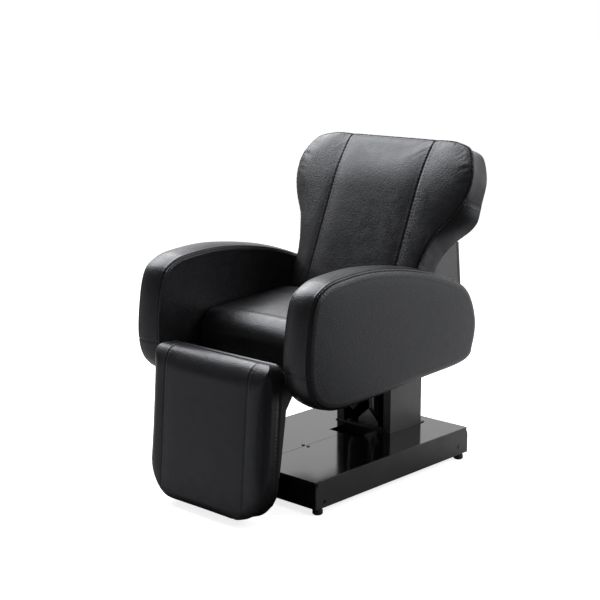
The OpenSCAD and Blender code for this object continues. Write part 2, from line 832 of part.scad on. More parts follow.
module handset_socket() {
    socket_z = rail_z1 - rail_h / 2;
    color("#17171a") difference() {
        union() {
            rod_y(base_y1 - inlet_depth, base_y1, socket_x, socket_z, socket_d);
            rod_y(base_y1, base_y1 + inlet_flange_t, socket_x, socket_z,
                socket_d + 2 * inlet_rim);
        }
        rod_y(base_y1 - inlet_depth + inlet_wall, base_y1 + inlet_flange_t + over, socket_x,
            socket_z, socket_d - 2 * inlet_wall);
    }
}

// Column: a foot plate and a folded channel that is open to the front
module column_foot() {
    color("#2c2c2f") difference() {
        box([-foot_plate_x, foot_plate_y0, rail_z1], [foot_plate_x, foot_plate_y1, foot_plate_z1]);
        box([-well_w / 2, foot_plate_y0 + cross_w, rail_z1 - over],
            [well_w / 2, foot_plate_y1 - cross_w - column_wall, foot_plate_z1 + over]);
        for (s = [-1, 1]) {
            for (y = column_bolt_ys) {
                rod_z(rail_z1 - over, foot_plate_z1 + over, s * column_bolt_x, y,
                    bolt_d + 2 * bolt_play);
            }
        }
    }
}

module column_shell() {
    color("#4a4a4d") difference() {
        box([-column_x, column_y0, foot_plate_z1], [column_x, column_y1, column_z1]);
        box([-column_x + column_wall, column_y0 + column_wall, foot_plate_z1 - over],
            [column_x - column_wall, column_y1 - column_wall, column_z1 + over]);
        box([-column_x + column_wall + column_lip, column_y0 - over, foot_plate_z1 - over],
            [column_x - column_wall - column_lip, column_y0 + column_wall + over,
                column_z1 + over]);
    }
}

module column_bolts() {
    color("#8b8d90") for (s = [-1, 1]) {
        for (y = column_bolt_ys) {
            rod_z(rail_z1 - rail_wall * 2, foot_plate_z1, s * column_bolt_x, y, bolt_d);
            translate([s * column_bolt_x, y, foot_plate_z1])
                cylinder(d = bolt_head_d, h = bolt_head_h, $fn = 6);
        }
    }
}

module column_guides() {
    side_x0 = mast_x + guide_play;
    side_x1 = column_x - column_wall;
    color("#d8d6cc") {
        both_sides() {
            box([side_x0, mast_y0 + guide_margin, guide_z0],
                [side_x1, mast_y1 - guide_margin, guide_z1]);
            box([side_x1 - column_lip, column_y0 + column_wall, guide_z0],
                [side_x1 - guide_margin, mast_y0 - guide_play, guide_z1]);
        }
        box([-mast_x + guide_margin, mast_y1 + guide_play, guide_z0],
            [mast_x - guide_margin, column_y1 - column_wall, guide_z1]);
    }
}

// Lift actuator: gearbox with a pointed front, motor and telescopic tube
module lift_gearbox() {
    gearbox_x = gearbox_w / 2;
    color("#b4b6b8") difference() {
        union() {
            box([-gearbox_x, gearbox_y0, lift_pan_z1], [gearbox_x, gearbox_y1, gearbox_z1]);
            front_plate(gearbox_y0, gearbox_y0 + gearbox_gable_l)
                polygon([[-gearbox_x, gearbox_z1], [gearbox_x, gearbox_z1],
                    [0, gearbox_z1 + gearbox_gable_h]]);
        }
        rod_z(base_h, gearbox_z1 + over, 0, lift_y, lift_tube_d + 2 * bolt_play);
    }
}

module lift_motor() {
    color("#2a2c30") {
        rod_x(gearbox_w / 2, gearbox_w / 2 + lift_motor_l, lift_y, lift_motor_z, lift_motor_d);
    }
}

module lift_tube() {
    color("#9b9da0") difference() {
        rod_z(base_h, lift_tube_z1, 0, lift_y, lift_tube_d);
        rod_z(lift_rod_z0 - lift_bore_gap, lift_tube_z1 + over, 0, lift_y,
            lift_rod_d + 2 * rod_play);
    }
}

module lift_rod() {
    color("#c9cbce") rod_z(lift_rod_z0, mast_head_z, 0, lift_y, lift_rod_d);
}

// Mast: the channel that rises in the column, with a head plate and two gussets
module mount_bolt_holes(z0, z1) {
    for (s = [-1, 1]) {
        for (y = [mount_plate_y0 + mount_bolt_inset, mast_y1 - mount_bolt_inset]) {
            rod_z(z0, z1, s * mount_bolt_x, y, bolt_d + 2 * bolt_play);
        }
    }
}

module mast() {
    color("#6a6b6e") difference() {
        union() {
            difference() {
                box([-mast_x, mast_y0, mast_z0], [mast_x, mast_y1, mast_head_z]);
                box([-mast_x + mast_wall, mast_y0 - over, mast_z0 - over],
                    [mast_x - mast_wall, mast_y1 - mast_wall, mast_head_z + over]);
            }
            box([-mast_x, column_y0 - mast_head_reach, mast_head_z],
                [mast_x, mast_y1, mount_plate_z]);
        }
        mount_bolt_holes(mast_head_z - over, mount_plate_z + over);
    }
}

module mast_gussets() {
    toe_z = mast_head_z - gusset_drop;
    color("#c2c4c6") both_sides() side_plate(gusset_x, gusset_x + gusset_t)
        polygon([[column_y0 - mast_head_reach, mast_head_z],
            [column_y0 - gusset_toe_y, toe_z + gusset_toe_h], [column_y0 + gusset_toe_y / 2, toe_z],
            [mast_y1 - mast_wall, toe_z + gusset_heel_h], [mast_y1 - mast_wall, mast_head_z]]);
}

module mount_plate() {
    color("#3a3b3e") difference() {
        box([-seat_rail_x, mount_plate_y0, mount_plate_z],
            [seat_rail_x, mount_plate_y1, seat_frame_z]);
        mount_bolt_holes(mount_plate_z - over, seat_frame_z + over);
    }
}

// Bolts of the mast's head and of the arms
module frame_bolts() {
    bolt_end = mast_head_z - bolt_head_h;
    color("#8b8d90") {
        for (s = [-1, 1]) {
            for (y = [mount_plate_y0 + mount_bolt_inset, mast_y1 - mount_bolt_inset]) {
                rod_z(bolt_end, seat_frame_z, s * mount_bolt_x, y, bolt_d);
                translate([s * mount_bolt_x, y, seat_frame_z])
                    cylinder(d = bolt_head_d, h = bolt_head_h, $fn = 6);
            }
        }
        both_sides() for (y = arm_bolt_ys) {
            rod_x(seat_rail_x - seat_rail_wall, arm_x + arm_bolt_bite, y, arm_bolt_z, bolt_d);
            rod_x(seat_rail_x - seat_rail_wall - bolt_head_h, seat_rail_x - seat_rail_wall, y,
                arm_bolt_z, bolt_head_d);
        }
    }
}

// Seat frame: two rails with hinge ears, and three cross tubes
module seat_rail() {
    ear_x1 = seat_rail_x0 + ear_t;
    difference() {
        union() {
            tube_along_y([seat_rail_x0, -seat_rail_front, seat_frame_z],
                [seat_rail_x, seat_rail_rear, seat_rail_z1], seat_rail_wall);
            side_plate(seat_rail_x0, ear_x1) polygon([
                [back_pivot_y - back_ear_foot, seat_rail_z1 - seat_rail_wall],
                [back_pivot_y + back_ear_foot, seat_rail_z1 - seat_rail_wall],
                [back_pivot_y + back_ear_r, back_pivot_z],
                [back_pivot_y - back_ear_r, back_pivot_z]]);
            rod_x(seat_rail_x0, ear_x1, back_pivot_y, back_pivot_z, 2 * back_ear_r);
            side_plate(seat_rail_x0, ear_x1) polygon([
                [leg_pivot_y - leg_ear_foot, seat_frame_z],
                [leg_pivot_y + leg_ear_foot, seat_frame_z],
                [leg_pivot_y + leg_ear_r, leg_pivot_z],
                [leg_pivot_y - leg_ear_r, leg_pivot_z]]);
            rod_x(seat_rail_x0, ear_x1, leg_pivot_y, leg_pivot_z, 2 * leg_ear_r);
        }
        rod_x(seat_rail_x0 - over, ear_x1 + over, back_pivot_y, back_pivot_z,
            back_pin_d + 2 * hinge_play);
        rod_x(seat_rail_x0 - over, ear_x1 + over, leg_pivot_y, leg_pivot_z,
            leg_pin_d + 2 * hinge_play);
        for (y = arm_bolt_ys) {
            rod_x(seat_rail_x - seat_rail_wall - over, seat_rail_x + over, y, arm_bolt_z,
                bolt_d + 2 * bolt_play);
        }
    }
}

module seat_rail_left() {
    color("#2c2c2f") seat_rail();
}

module seat_rail_right() {
    color("#2c2c2f") mirror([1, 0, 0]) seat_rail();
}

module seat_cross_members() {
    color("#2c2c2f") for (y = seat_cross_ys) {
        tube_along_x([-seat_rail_x0, y, seat_cross_z0],
            [seat_rail_x0, y + seat_cross_w, seat_rail_z1], rail_wall);
    }
}

// A hinge pin with a head inside the bracket and a ring outside the ear
module hinge_pin(y, z, d, head_d, ring_d) {
    head_x1 = bracket_x0 - side_play;
    ring_x0 = seat_rail_x0 + ear_t;
    rod_x(head_x1, ring_x0 + ring_t, y, z, d);
    rod_x(head_x1 - pin_head_t, head_x1, y, z, head_d);
    difference() {
        rod_x(ring_x0, ring_x0 + ring_t, y, z, ring_d);
        rod_x(ring_x0 - over, ring_x0 + ring_t + over, y, z, d - bolt_play);
    }
}

module hinge_pins() {
    color("#c9cbce") both_sides() {
        hinge_pin(back_pivot_y, back_pivot_z, back_pin_d, pin_head_d, back_ring_d);
        hinge_pin(leg_pivot_y, leg_pivot_z, leg_pin_d, pin_head_d - ring_t, leg_ring_d);
    }
}

module hinge_washers() {
    color("#d8d6cc") both_sides() for (h = [[back_pivot_y, back_pivot_z, back_pin_d],
            [leg_pivot_y, leg_pivot_z, leg_pin_d]]) {
        difference() {
            rod_x(bracket_x1 + side_play, seat_rail_x0, h[0], h[1], h[2] + 2 * washer_w);
            rod_x(bracket_x1, seat_rail_x0 + over, h[0], h[1], h[2] + 2 * bolt_play);
        }
    }
}

// Seat
module seat_board() {
    color("#9a7b52") box([-seat_x + seat_board_inset, seat_y0 + seat_board_inset, seat_rail_z1],
        [seat_x - seat_board_inset, seat_y1 - seat_board_inset, seat_board_z1]);
}

// Height of the seat's side edge at a distance behind the origin
function seat_edge_z(y) = seat_h - seat_crown + y * tan(seat_slope);

// Side outline of the seat cushion, anticlockwise from its lower front corner
seat_rear_r = 14;
seat_top_shares = [0.12, 0.28, 0.44, 0.6, 0.76, 0.9];
// Share of the crown that reaches the cushion's front and rear ends
seat_end_share = 0.55;

function seat_outline(crown) =
    let (front_z = seat_edge_z(seat_y0 + seat_roll_r) - seat_roll_r,
        rear_z = seat_edge_z(seat_y1) - seat_rear_r,
        top_y0 = seat_y0 + seat_roll_r,
        top_l = seat_y1 - seat_rear_r - top_y0)
    concat([[seat_y0, seat_board_z1], [seat_y1, seat_board_z1],
            [seat_y1, (seat_board_z1 + rear_z) / 2]],
        [for (a = [0:30:90]) [seat_y1 - seat_rear_r * (1 - cos(a)),
            rear_z + seat_rear_r * sin(a) + crown * seat_end_share]],
        [for (i = [len(seat_top_shares) - 1:-1:0]) let (s = seat_top_shares[i],
            y = top_y0 + s * top_l)
            [y, seat_edge_z(y) + crown * (seat_end_share + (1 - seat_end_share) * sin(180 * s))]],
        [for (a = [90:22.5:180]) [top_y0 + seat_roll_r * cos(a),
            front_z + seat_roll_r * sin(a) + crown * seat_end_share]],
        [[seat_y0, (seat_board_z1 + front_z) / 2]]);

seat_side_r = 13;
seat_station_shares = [0.3, 0.55, 0.75, 0.89];
seat_crown_power = 2.2;

function seat_ring(x, inset, crown) = [for (p = inset_loop(seat_outline(crown), inset))
    [x, p[0], max(p[1], seat_board_z1)]];

module seat_cushion() {
    flat_x = seat_x - seat_side_r;
    half = concat([for (a = [0:30:90]) [flat_x + seat_side_r * cos(a),
            seat_side_r * (1 - sin(a)), 0]],
        [for (i = [len(seat_station_shares) - 1:-1:0]) let (s = seat_station_shares[i])
            [flat_x * s, 0, seat_crown * (1 - pow(s, seat_crown_power))]]);
    rings = concat([for (i = [0:len(half) - 1]) seat_ring(-half[i][0], half[i][1], half[i][2])],
        [seat_ring(0, 0, seat_crown)],
        [for (i = [len(half) - 1:-1:0]) seat_ring(half[i][0], half[i][1], half[i][2])]);
    color("#3c3c40") loft(rings);
}

// Arms: a wooden core board and a foam pad with rounded edges and a slight crown
function arm_outline() = smooth_loop([for (p = arm_shares)
    [arm_y0 + p[0] * arm_l, arm_z0 + p[1] * arm_h]], arm_steps);
function arm_ring(x, inset) = [for (p = inset_loop(arm_outline(), inset)) [x, p[0], p[1]]];
function arm_face_ring(x, share) =
    let (mid = [arm_y0 + arm_l / 2, arm_z0 + arm_h / 2])
    [for (p = arm_outline())
        [x, mid[0] + (p[0] - mid[0]) * share, mid[1] + (p[1] - mid[1]) * share]];

module arm_core() {
    difference() {
        side_plate(arm_x, arm_pad_x0) polygon(inset_loop(arm_outline(), arm_core_inset));
        for (y = arm_bolt_ys) {
            rod_x(arm_x - over, arm_x + arm_bolt_bite, y, arm_bolt_z, bolt_d + 2 * bolt_play);
        }
    }
}

module arm_core_left() {
    color("#3c3c40") arm_core();
}

module arm_core_right() {
    color("#3c3c40") mirror([1, 0, 0]) arm_core();
}

module arm_pad() {
    edge_r = 2 * arm_crown;
    edge_x = arm_x1 - arm_crown - edge_r;
    loft(concat([arm_ring(arm_pad_x0, arm_core_inset / 2), arm_ring(arm_pad_x0 + edge_r, 0),
            arm_ring((arm_pad_x0 + edge_x) / 2, seam_depth / 3)],
        [for (a = [0:30:90]) arm_ring(edge_x + edge_r * sin(a), edge_r * (1 - cos(a)))],
        [arm_face_ring(arm_x1 - arm_crown / 3, arm_face_shares[0]),
            arm_face_ring(arm_x1, arm_face_shares[1])]));
}

module arm_pad_left() {
    color("#3c3c40") arm_pad();
}

module arm_pad_right() {
    color("#3c3c40") mirror([1, 0, 0]) arm_pad();
}

module arm_brackets() {
    color("#2c2c2f") both_sides() for (y = arm_bolt_ys) {
        difference() {
            box([seat_rail_x, y - arm_bracket_l / 2, arm_bolt_z - arm_bracket_h / 2],
                [arm_x, y + arm_bracket_l / 2, arm_bolt_z + arm_bracket_h / 2]);
            rod_x(seat_rail_x - over, arm_x + over, y, arm_bolt_z, bolt_d + 2 * bolt_play);
        }
    }
}

// Recline actuator under the seat
module recline_gearbox() {
    color("#b4b6b8") difference() {
        box([-recline_box_w / 2, recline_box_y0, seat_cross_z0 - recline_box_h],
            [recline_box_w / 2, recline_box_y1, seat_cross_z0]);
        rod_y(recline_box_y1 - recline_box_l / 4, recline_box_y1 + over, 0, back_drive_z,
            recline_tube_d + 2 * bolt_play);
    }
}

module recline_motor() {
    color("#2a2c30") rod_x(recline_box_w / 2, recline_box_w / 2 + recline_motor_l,
        recline_box_y0 + recline_box_l / 2, recline_motor_z, recline_motor_d);
}

module recline_tube() {
    color("#9b9da0") difference() {
        rod_y(recline_box_y1 - recline_box_l / 4, recline_tube_y1, 0, back_drive_z,
            recline_tube_d);
        rod_y(recline_bore_y0, recline_tube_y1 + over, 0, back_drive_z,
            recline_rod_d + 2 * rod_play);
    }
}

module actuator_clamp() {
    clamp_z0 = back_drive_z - recline_tube_d / 2 - clamp_under;
    color("#3a3b3e") difference() {
        box([-clamp_w / 2, seat_cross_ys[1], clamp_z0],
            [clamp_w / 2, seat_cross_ys[1] + seat_cross_w, seat_cross_z0]);
        rod_y(seat_cross_ys[1] - over, seat_cross_ys[1] + seat_cross_w + over, 0, back_drive_z,
            recline_tube_d + 2 * bolt_play);
    }
}

// Strip of a lever or of its slot: a straight run with round ends, along the hinge's -Z
module strip_outline(near, far, w) {
    translate([-w / 2, -far]) square([w, far - near]);
    for (z = [near, far]) translate([0, -z]) circle(d = w);
}

// A bracket's plate in Y and Z round its hinge: eye, slotted lever and the web that it is given
module bracket_plate(deg, lever_h, slot_w, ear_r, pin_d) {
    // Radial reach of the drive pin at the ends of its stroke
    far = norm([lever_h, push_stroke / 2]);
    side_plate(bracket_x0, bracket_x1) difference() {
        union() {
            rotate(deg) strip_outline(0, far, slot_w + 2 * lever_rim);
            circle(ear_r);
            children();
        }
        rotate(deg) strip_outline(lever_h, far, slot_w);
        circle(d = pin_d + 2 * hinge_play);
    }
}

// Backrest brackets: plate with eye, lever and web, and a screwed flange
module back_bracket() {
    difference() {
        translate([0, back_pivot_y, back_pivot_z]) {
            bracket_plate(back_lever_deg, back_lever_h, drive_pin_d + 2 * back_slot_play,
                    back_ear_r, back_pin_d) {
                rotate(-back_tilt) polygon([[0, bracket_top], [0, 0], [back_ear_r, 0],
                    [bracket_web_w, bracket_flange_z0], [bracket_tip_w, bracket_top]]);
            }
            side_plate(bracket_x0 - bracket_flange_w, bracket_x1) rotate(-back_tilt)
                translate([0, bracket_flange_z0])
                square([bracket_flange_t, bracket_top - bracket_flange_z0]);
        }
        in_back() for (z = [bracket_flange_z0 + bracket_screw_inset,
                bracket_top - bracket_screw_inset]) {
            rod_y(-over, bracket_flange_t + over, bracket_x0 - bracket_flange_w / 2, z,
                screw_d + 2 * bolt_play);
        }
    }
}

module back_bracket_left() {
    color("#2c2c2f") back_bracket();
}

module back_bracket_right() {
    color("#2c2c2f") mirror([1, 0, 0]) back_bracket();
}

// Widening of the back's rear edge at a height
function back_flare(z) = back_flare_w
    * exp(-pow(((z - back_foot) / back_l - back_flare_at) / back_flare_spread, 2));

// Half width of the back at each height, from its shares
function back_stations() = smooth_run([for (p = back_width_shares)
    [back_foot + p[0] * back_l, p[1] * back_w / 2]], back_steps);

module back_board() {
    stations = [for (p = back_stations()) if (p[0] > back_foot + back_board_foot
        && p[0] < back_top - board_inset) p];
    half = [for (p = stations) [p[1] + back_flare(p[0]) - board_inset, p[0]]];
    outline = concat(half, [for (i = [len(half) - 1:-1:0]) [-half[i][0], half[i][1]]]);
    color("#3c3c40") in_back() difference() {
        front_plate(back_rear, 0) polygon(outline);
        both_sides() for (z = [bracket_flange_z0 + bracket_screw_inset,
                bracket_top - bracket_screw_inset]) {
            rod_y(-screw_l, over, bracket_x0 - bracket_flange_w / 2, z,
                screw_d + 2 * bolt_play);
        }
    }
}

// Shares of the widths inside and outside a sewn seam, and of the depth at a cushion's side
inner_shares = [0.35, 0.72];
outer_shares = [0.3, 0.62, 0.86];
side_depth_shares = [0.45, 0.86];
side_pull = 3;

// Front points of one half, from the middle to the edge
function half_xs(x, seam) = let (s = min(seam, x - 3 * seam_half_w))
    concat([for (t = inner_shares) t * (s - seam_half_w)],
        [s - seam_half_w, s, s + seam_half_w],
        [for (t = outer_shares) s + seam_half_w + t * (x - s - seam_half_w)], [x]);

// A ring across a cushion: the front with its seams, then the sides, which may flare, and
// the flat rear
function pad_ring(x, xs, ys, mid, edge, rear, z, flare = 0) = concat(
    [for (i = [len(xs) - 1:-1:0]) [-xs[i], ys[i], z]],
    [[0, mid, z]],
    [for (i = [0:len(xs) - 1]) [xs[i], ys[i], z]],
    [for (t = side_depth_shares)
        [x + flare * t * t - side_pull * (1 - t), edge + t * (rear - edge), z]],
    [[x + flare - side_pull * 2, rear, z], [side_pull * 2 - flare - x, rear, z]],
    [for (i = [len(side_depth_shares) - 1:-1:0]) let (t = side_depth_shares[i])
        [side_pull * (1 - t) - flare * t * t - x, edge + t * (rear - edge), z]]);

back_edge_y = back_edge_drop - back_face;
// Set-back of a wing's crest behind the middle panel, and its steepness and reach as shares
back_wing_drop = 3;
wing_edge_power = 2.4;
wing_root_share = 0.7;
wing_root_power = 1.6;

function back_roll(z) = back_roll_drop * pow(max(0, (z - back_top + back_roll_l) / back_roll_l), 2);
function back_mid_y(x, z) = back_roll(z) - back_face
    + seam_depth * max(0, (x - back_seam_x + seam_half_w) / seam_half_w);
function back_wing_y(t, z) = back_wing_drop - back_face
    + (back_edge_drop - back_wing_drop) * pow(t, wing_edge_power)
    + (seam_depth - back_wing_drop + back_roll(z)) * pow(max(0, 1 - t / wing_root_share),
        wing_root_power);
function back_front_y(x, edge_x, z) = x <= back_seam_x ? back_mid_y(x, z)
    : min(back_edge_y, back_wing_y((x - back_seam_x) / (edge_x - back_seam_x), z));

function back_ring(z, x, tuck) =
    let (xs = half_xs(x - tuck, back_seam_x))
    pad_ring(x - tuck, xs, [for (v = xs) back_front_y(v, x, z) + tuck],
        back_mid_y(0, z) + tuck, back_edge_y + tuck, back_rear, z, back_flare(z));

module back_cushion() {
    stations = back_stations();
    last = len(stations) - 1;
    color("#3c3c40") in_back() loft([for (i = [0:last])
        back_ring(stations[i][0], stations[i][1], i == last || i == 0 ? side_pull : 0)]);
}

// Rear cover: a sheet shell whose mouth takes the brackets, and a thick rear panel
function hood_outline() = [[0, hood_top], [0, hood_bottom], [hood_heel_y, hood_heel_z],
    [hood_knee_y, hood_knee_z]];

// Space that the back brackets take in the rear cover: round each web, and over each flange's screws
module bracket_space() {
    z0 = bracket_flange_z0 - bracket_room;
    z1 = bracket_top + bracket_room;
    both_sides() {
        side_plate(bracket_x0 - bracket_room, bracket_x1 + bracket_room)
            polygon([[-over, z0], [bracket_web_w + bracket_room, z0],
                [bracket_tip_w + bracket_room, z1], [-over, z1]]);
        box([bracket_x0 - bracket_flange_w - bracket_room, -over, z0],
            [bracket_x0, bracket_flange_t + 2 * screw_head_h + bracket_room, z1]);
    }
}

module back_cover() {
    inner = [[-over, hood_top - 3 * hood_wall], [-over, hood_bottom + hood_wall],
        [hood_heel_y - 2 * hood_wall, hood_heel_z + hood_wall],
        [hood_knee_y - 2 * hood_wall, hood_knee_z - hood_wall]];
    color("#646367") in_back() difference() {
        side_plate(-hood_w / 2, hood_w / 2) polygon(hood_outline());
        side_plate(-hood_w / 2 + hood_wall, hood_w / 2 - hood_wall) polygon(inner);
        box([-hood_w / 2 + hood_wall, -over, hood_bottom - over],
            [hood_w / 2 - hood_wall, hood_mouth, hood_heel_z]);
        bracket_space();
    }
}

module back_panel() {
    run = [hood_heel_y - hood_knee_y, hood_heel_z - hood_knee_z];
    out = [-run[1], run[0]] * hood_panel_t / norm(run);
    knee = [hood_knee_y, hood_knee_z];
    heel = [hood_heel_y, hood_heel_z];
    color("#2c2c2f") in_back() side_plate(-hood_w / 2, hood_w / 2)
        polygon([knee, heel, heel + out, knee + out]);
}

module back_screws() {
    color("#8b8d90") in_back() both_sides() for (z = [bracket_flange_z0 + bracket_screw_inset,
            bracket_top - bracket_screw_inset]) {
        rod_y(-screw_l, bracket_flange_t, bracket_x0 - bracket_flange_w / 2, z, screw_d);
        rod_y(bracket_flange_t, bracket_flange_t + screw_head_h * 2,
            bracket_x0 - bracket_flange_w / 2, z, screw_head_d);
    }
}

// Legrest brackets
leg_screw_zs = [-leg_bracket_drop + bracket_screw_inset, -bracket_screw_inset * 2];

module leg_bracket() {
    difference() {
        translate([0, leg_pivot_y, leg_pivot_z]) {
            bracket_plate(leg_lever_deg, leg_lever_h, drive_pin_d + 2 * leg_slot_play,
                    leg_ear_r, leg_pin_d) {
                rotate(-leg_tilt) polygon([[leg_board_rear, leg_web_top],
                    [leg_board_rear, -leg_bracket_drop],
                    [leg_board_rear + bracket_tip_w, -leg_bracket_drop],
                    [leg_board_rear + leg_web_w, -leg_bracket_drop / 3], [0, -leg_web_top],
                    [0, leg_web_top]]);
            }
            side_plate(bracket_x0 - bracket_flange_w, bracket_x1) rotate(-leg_tilt)
                translate([leg_board_rear, -leg_bracket_drop])
                square([bracket_flange_t, leg_bracket_drop + leg_web_top]);
        }
        in_leg() for (z = leg_screw_zs) {
            rod_y(leg_board_rear - over, leg_board_rear + bracket_flange_t + over,
                bracket_x0 - bracket_flange_w / 2, z, screw_d + 2 * bolt_play);
        }
    }
}

module leg_bracket_left() {
    color("#2c2c2f") leg_bracket();
}

module leg_bracket_right() {
    color("#2c2c2f") mirror([1, 0, 0]) leg_bracket();
}

// Half width of the legrest at a height, with its round corners
function leg_half_w(z, inset) =
    let (r = z > 0 ? leg_top_corner_r : leg_low_corner_r,
        d = z > 0 ? leg_top - inset - z : z - leg_bottom - inset)
    leg_w / 2 - inset - (d < r ? r - sqrt(max(0, r * r - pow(r - d, 2))) : 0);

leg_arc_shares = [0, 0.06, 0.2, 0.42, 0.7, 1];

module leg_board() {
    low = [for (s = leg_arc_shares) leg_bottom + board_inset + s * leg_low_corner_r];
    high = [for (i = [len(leg_arc_shares) - 1:-1:0])
        leg_top - board_inset - leg_arc_shares[i] * leg_top_corner_r];
    zs = concat(low, high);
    outline = concat([for (z = zs) [leg_half_w(z, board_inset), z]],
        [for (i = [len(zs) - 1:-1:0]) [-leg_half_w(zs[i], board_inset), zs[i]]]);
    color("#3c3c40") in_leg() difference() {
        front_plate(leg_rear, leg_board_rear) polygon(outline);
        both_sides() for (z = leg_screw_zs) {
            rod_y(leg_board_rear - screw_l, leg_board_rear + over,
                bracket_x0 - bracket_flange_w / 2, z, screw_d + 2 * bolt_play);
        }
    }
}

leg_low_roll_r = 16;

function leg_roll(z) =
    let (r = z > 0 ? leg_roll_r : leg_low_roll_r,
        d = z > 0 ? leg_top - z : z - leg_bottom)
    d < r ? r - sqrt(max(0, r * r - pow(r - d, 2))) : 0;
function leg_front_y(x, z) =
    let (edge_y = leg_crown - leg_face, s = leg_seam_x, w = leg_w / 2)
    edge_y - leg_crown * (1 - pow(min(1, x / w), 2)) + leg_roll(z)
    + seam_depth * max(0, 1 - abs(x - s) / seam_half_w);

module leg_cushion() {
    mid_shares = [0.3, 0.5, 0.7];
    low = [for (s = leg_arc_shares) leg_bottom + s * leg_low_corner_r];
    high = [for (i = [len(leg_arc_shares) - 1:-1:0]) leg_top - leg_arc_shares[i] * leg_roll_r];
    middle = [for (t = mid_shares) leg_bottom + t * leg_l];
    color("#3c3c40") in_leg() loft([for (z = concat(low, middle, high))
        let (x = leg_half_w(z, 0), xs = half_xs(x, leg_seam_x))
        pad_ring(x, xs, [for (v = xs) leg_front_y(v, z)], leg_front_y(0, z),
            leg_crown - leg_face + leg_roll(z), leg_rear, z)]);
}

module leg_screws() {
    color("#8b8d90") in_leg() both_sides() for (z = leg_screw_zs) {
        rod_y(leg_board_rear - screw_l, leg_board_rear + bracket_flange_t,
            bracket_x0 - bracket_flange_w / 2, z, screw_d);
        rod_y(leg_board_rear + bracket_flange_t,
            leg_board_rear + bracket_flange_t + screw_head_h * 2,
            bracket_x0 - bracket_flange_w / 2, z, screw_head_d);
    }
}

// Push frame: two bars, the crosshead and rod that drive them, and the pins in the levers
module push_bars() {
    color("#55575b") both_sides() box([push_bar_x0, push_y0, push_z - push_bar_h / 2],
        [push_bar_x1, push_y1, push_z + push_bar_h / 2]);
}

module crosshead() {
    color("#55575b") box([-push_bar_x0, crosshead_y0, back_drive_z - crosshead_h / 2],
        [push_bar_x0, crosshead_y1, back_drive_z + crosshead_h / 2]);
}

module recline_rod() {
    color("#c9cbce") rod_y(recline_rod_y0, crosshead_y0, 0, back_drive_z, recline_rod_d);
}

module drive_pins() {
    color("#c9cbce") both_sides() {
        rod_x(push_bar_x1, drive_pin_x1, back_drive_y, back_drive_z, drive_pin_d);
        rod_x(push_bar_x1, drive_pin_x1, leg_drive_y, leg_drive_z, drive_pin_d);
    }
}

base_rail_left();
base_rail_right();
base_cross_members();
base_cover_left();
base_cover_right();
side_panel_left();
side_panel_right();
cover_screws();
side_screws();
levelling_feet();
foot_studs();
control_box();
control_box_lid();
power_inlet();
handset_socket();
column_foot();
column_shell();
column_bolts();
column_guides();
lift_gearbox();
lift_motor();
lift_tube();
lift_rod();
mast();
mast_gussets();
mount_plate();
frame_bolts();
seat_rail_left();
seat_rail_right();
seat_cross_members();
hinge_pins();
hinge_washers();
seat_board();
seat_cushion();
arm_core_left();
arm_core_right();
arm_pad_left();
arm_pad_right();
arm_brackets();
recline_gearbox();
recline_motor();
recline_tube();
actuator_clamp();
back_bracket_left();
back_bracket_right();
back_board();
back_cushion();
back_cover();
back_panel();
back_screws();
leg_bracket_left();
leg_bracket_right();
leg_board();
leg_cushion();
leg_screws();
push_bars();
crosshead();
recline_rod();
drive_pins();
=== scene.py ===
# Electric shampoo chair: upholstery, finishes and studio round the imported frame, in metres
import json
import math

import bmesh
import bpy
import numpy as np
from mathutils import Matrix, Vector, kdtree


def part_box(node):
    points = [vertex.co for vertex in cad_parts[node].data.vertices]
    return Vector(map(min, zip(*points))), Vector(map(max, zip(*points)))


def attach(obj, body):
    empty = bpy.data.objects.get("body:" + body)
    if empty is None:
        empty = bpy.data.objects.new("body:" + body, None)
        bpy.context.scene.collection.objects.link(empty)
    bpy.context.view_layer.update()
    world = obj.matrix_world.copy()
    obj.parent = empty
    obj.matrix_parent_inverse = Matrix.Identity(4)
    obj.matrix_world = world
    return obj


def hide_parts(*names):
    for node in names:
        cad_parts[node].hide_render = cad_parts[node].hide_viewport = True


print("frame: loading")
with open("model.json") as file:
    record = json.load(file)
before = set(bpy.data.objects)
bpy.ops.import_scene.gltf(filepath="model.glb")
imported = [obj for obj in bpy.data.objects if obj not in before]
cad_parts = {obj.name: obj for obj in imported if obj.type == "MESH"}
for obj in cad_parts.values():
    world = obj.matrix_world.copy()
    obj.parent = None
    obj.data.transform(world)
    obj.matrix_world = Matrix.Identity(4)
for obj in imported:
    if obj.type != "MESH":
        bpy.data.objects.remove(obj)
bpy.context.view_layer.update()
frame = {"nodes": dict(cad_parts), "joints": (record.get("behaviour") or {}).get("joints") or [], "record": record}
mm = 0.001
jointAt = {j["name"]: Vector(j["pos_m"]) for j in frame["joints"] if "pos_m" in j}

# Camera and studio
cameraLook = {"azimuth": 42.6, "elevation": 12.0, "distance": 3.904, "lens": 83.1,
              "sensor": 36, "target": (-0.0713, 0.0344, 0.4969)}
lampLooks = {
    "overhead": {"place": (-1.7, 0.12, 2.6), "aim": (0.0, 0.0, 0.6), "size": (2.3, 2.3), "watts": 110},
    "rightBank": {"place": (2.6, 1.8, 2.0), "aim": (0.0, 0.0, 0.5), "size": (1.6, 1.6), "watts": 45},
}
studioLook = {"backdrop": 1.0, "fill": 0.3, "frontGlow": 0.08, "frontFloor": 0.5, "rearGlow": 1.0,
              "darkSide": (0.966, -0.259, 0.0), "darkShare": 0.14, "darkReach": (0.35, 0.85),
              "ceiling": (0.45, 0.8), "ceilingShare": 0.25, "shadeRadius": (0.4, 0.65),
              "floorWidth": 40.0, "floorColor": (0.8, 0.8, 0.8, 1), "floorGlow": 0.8}


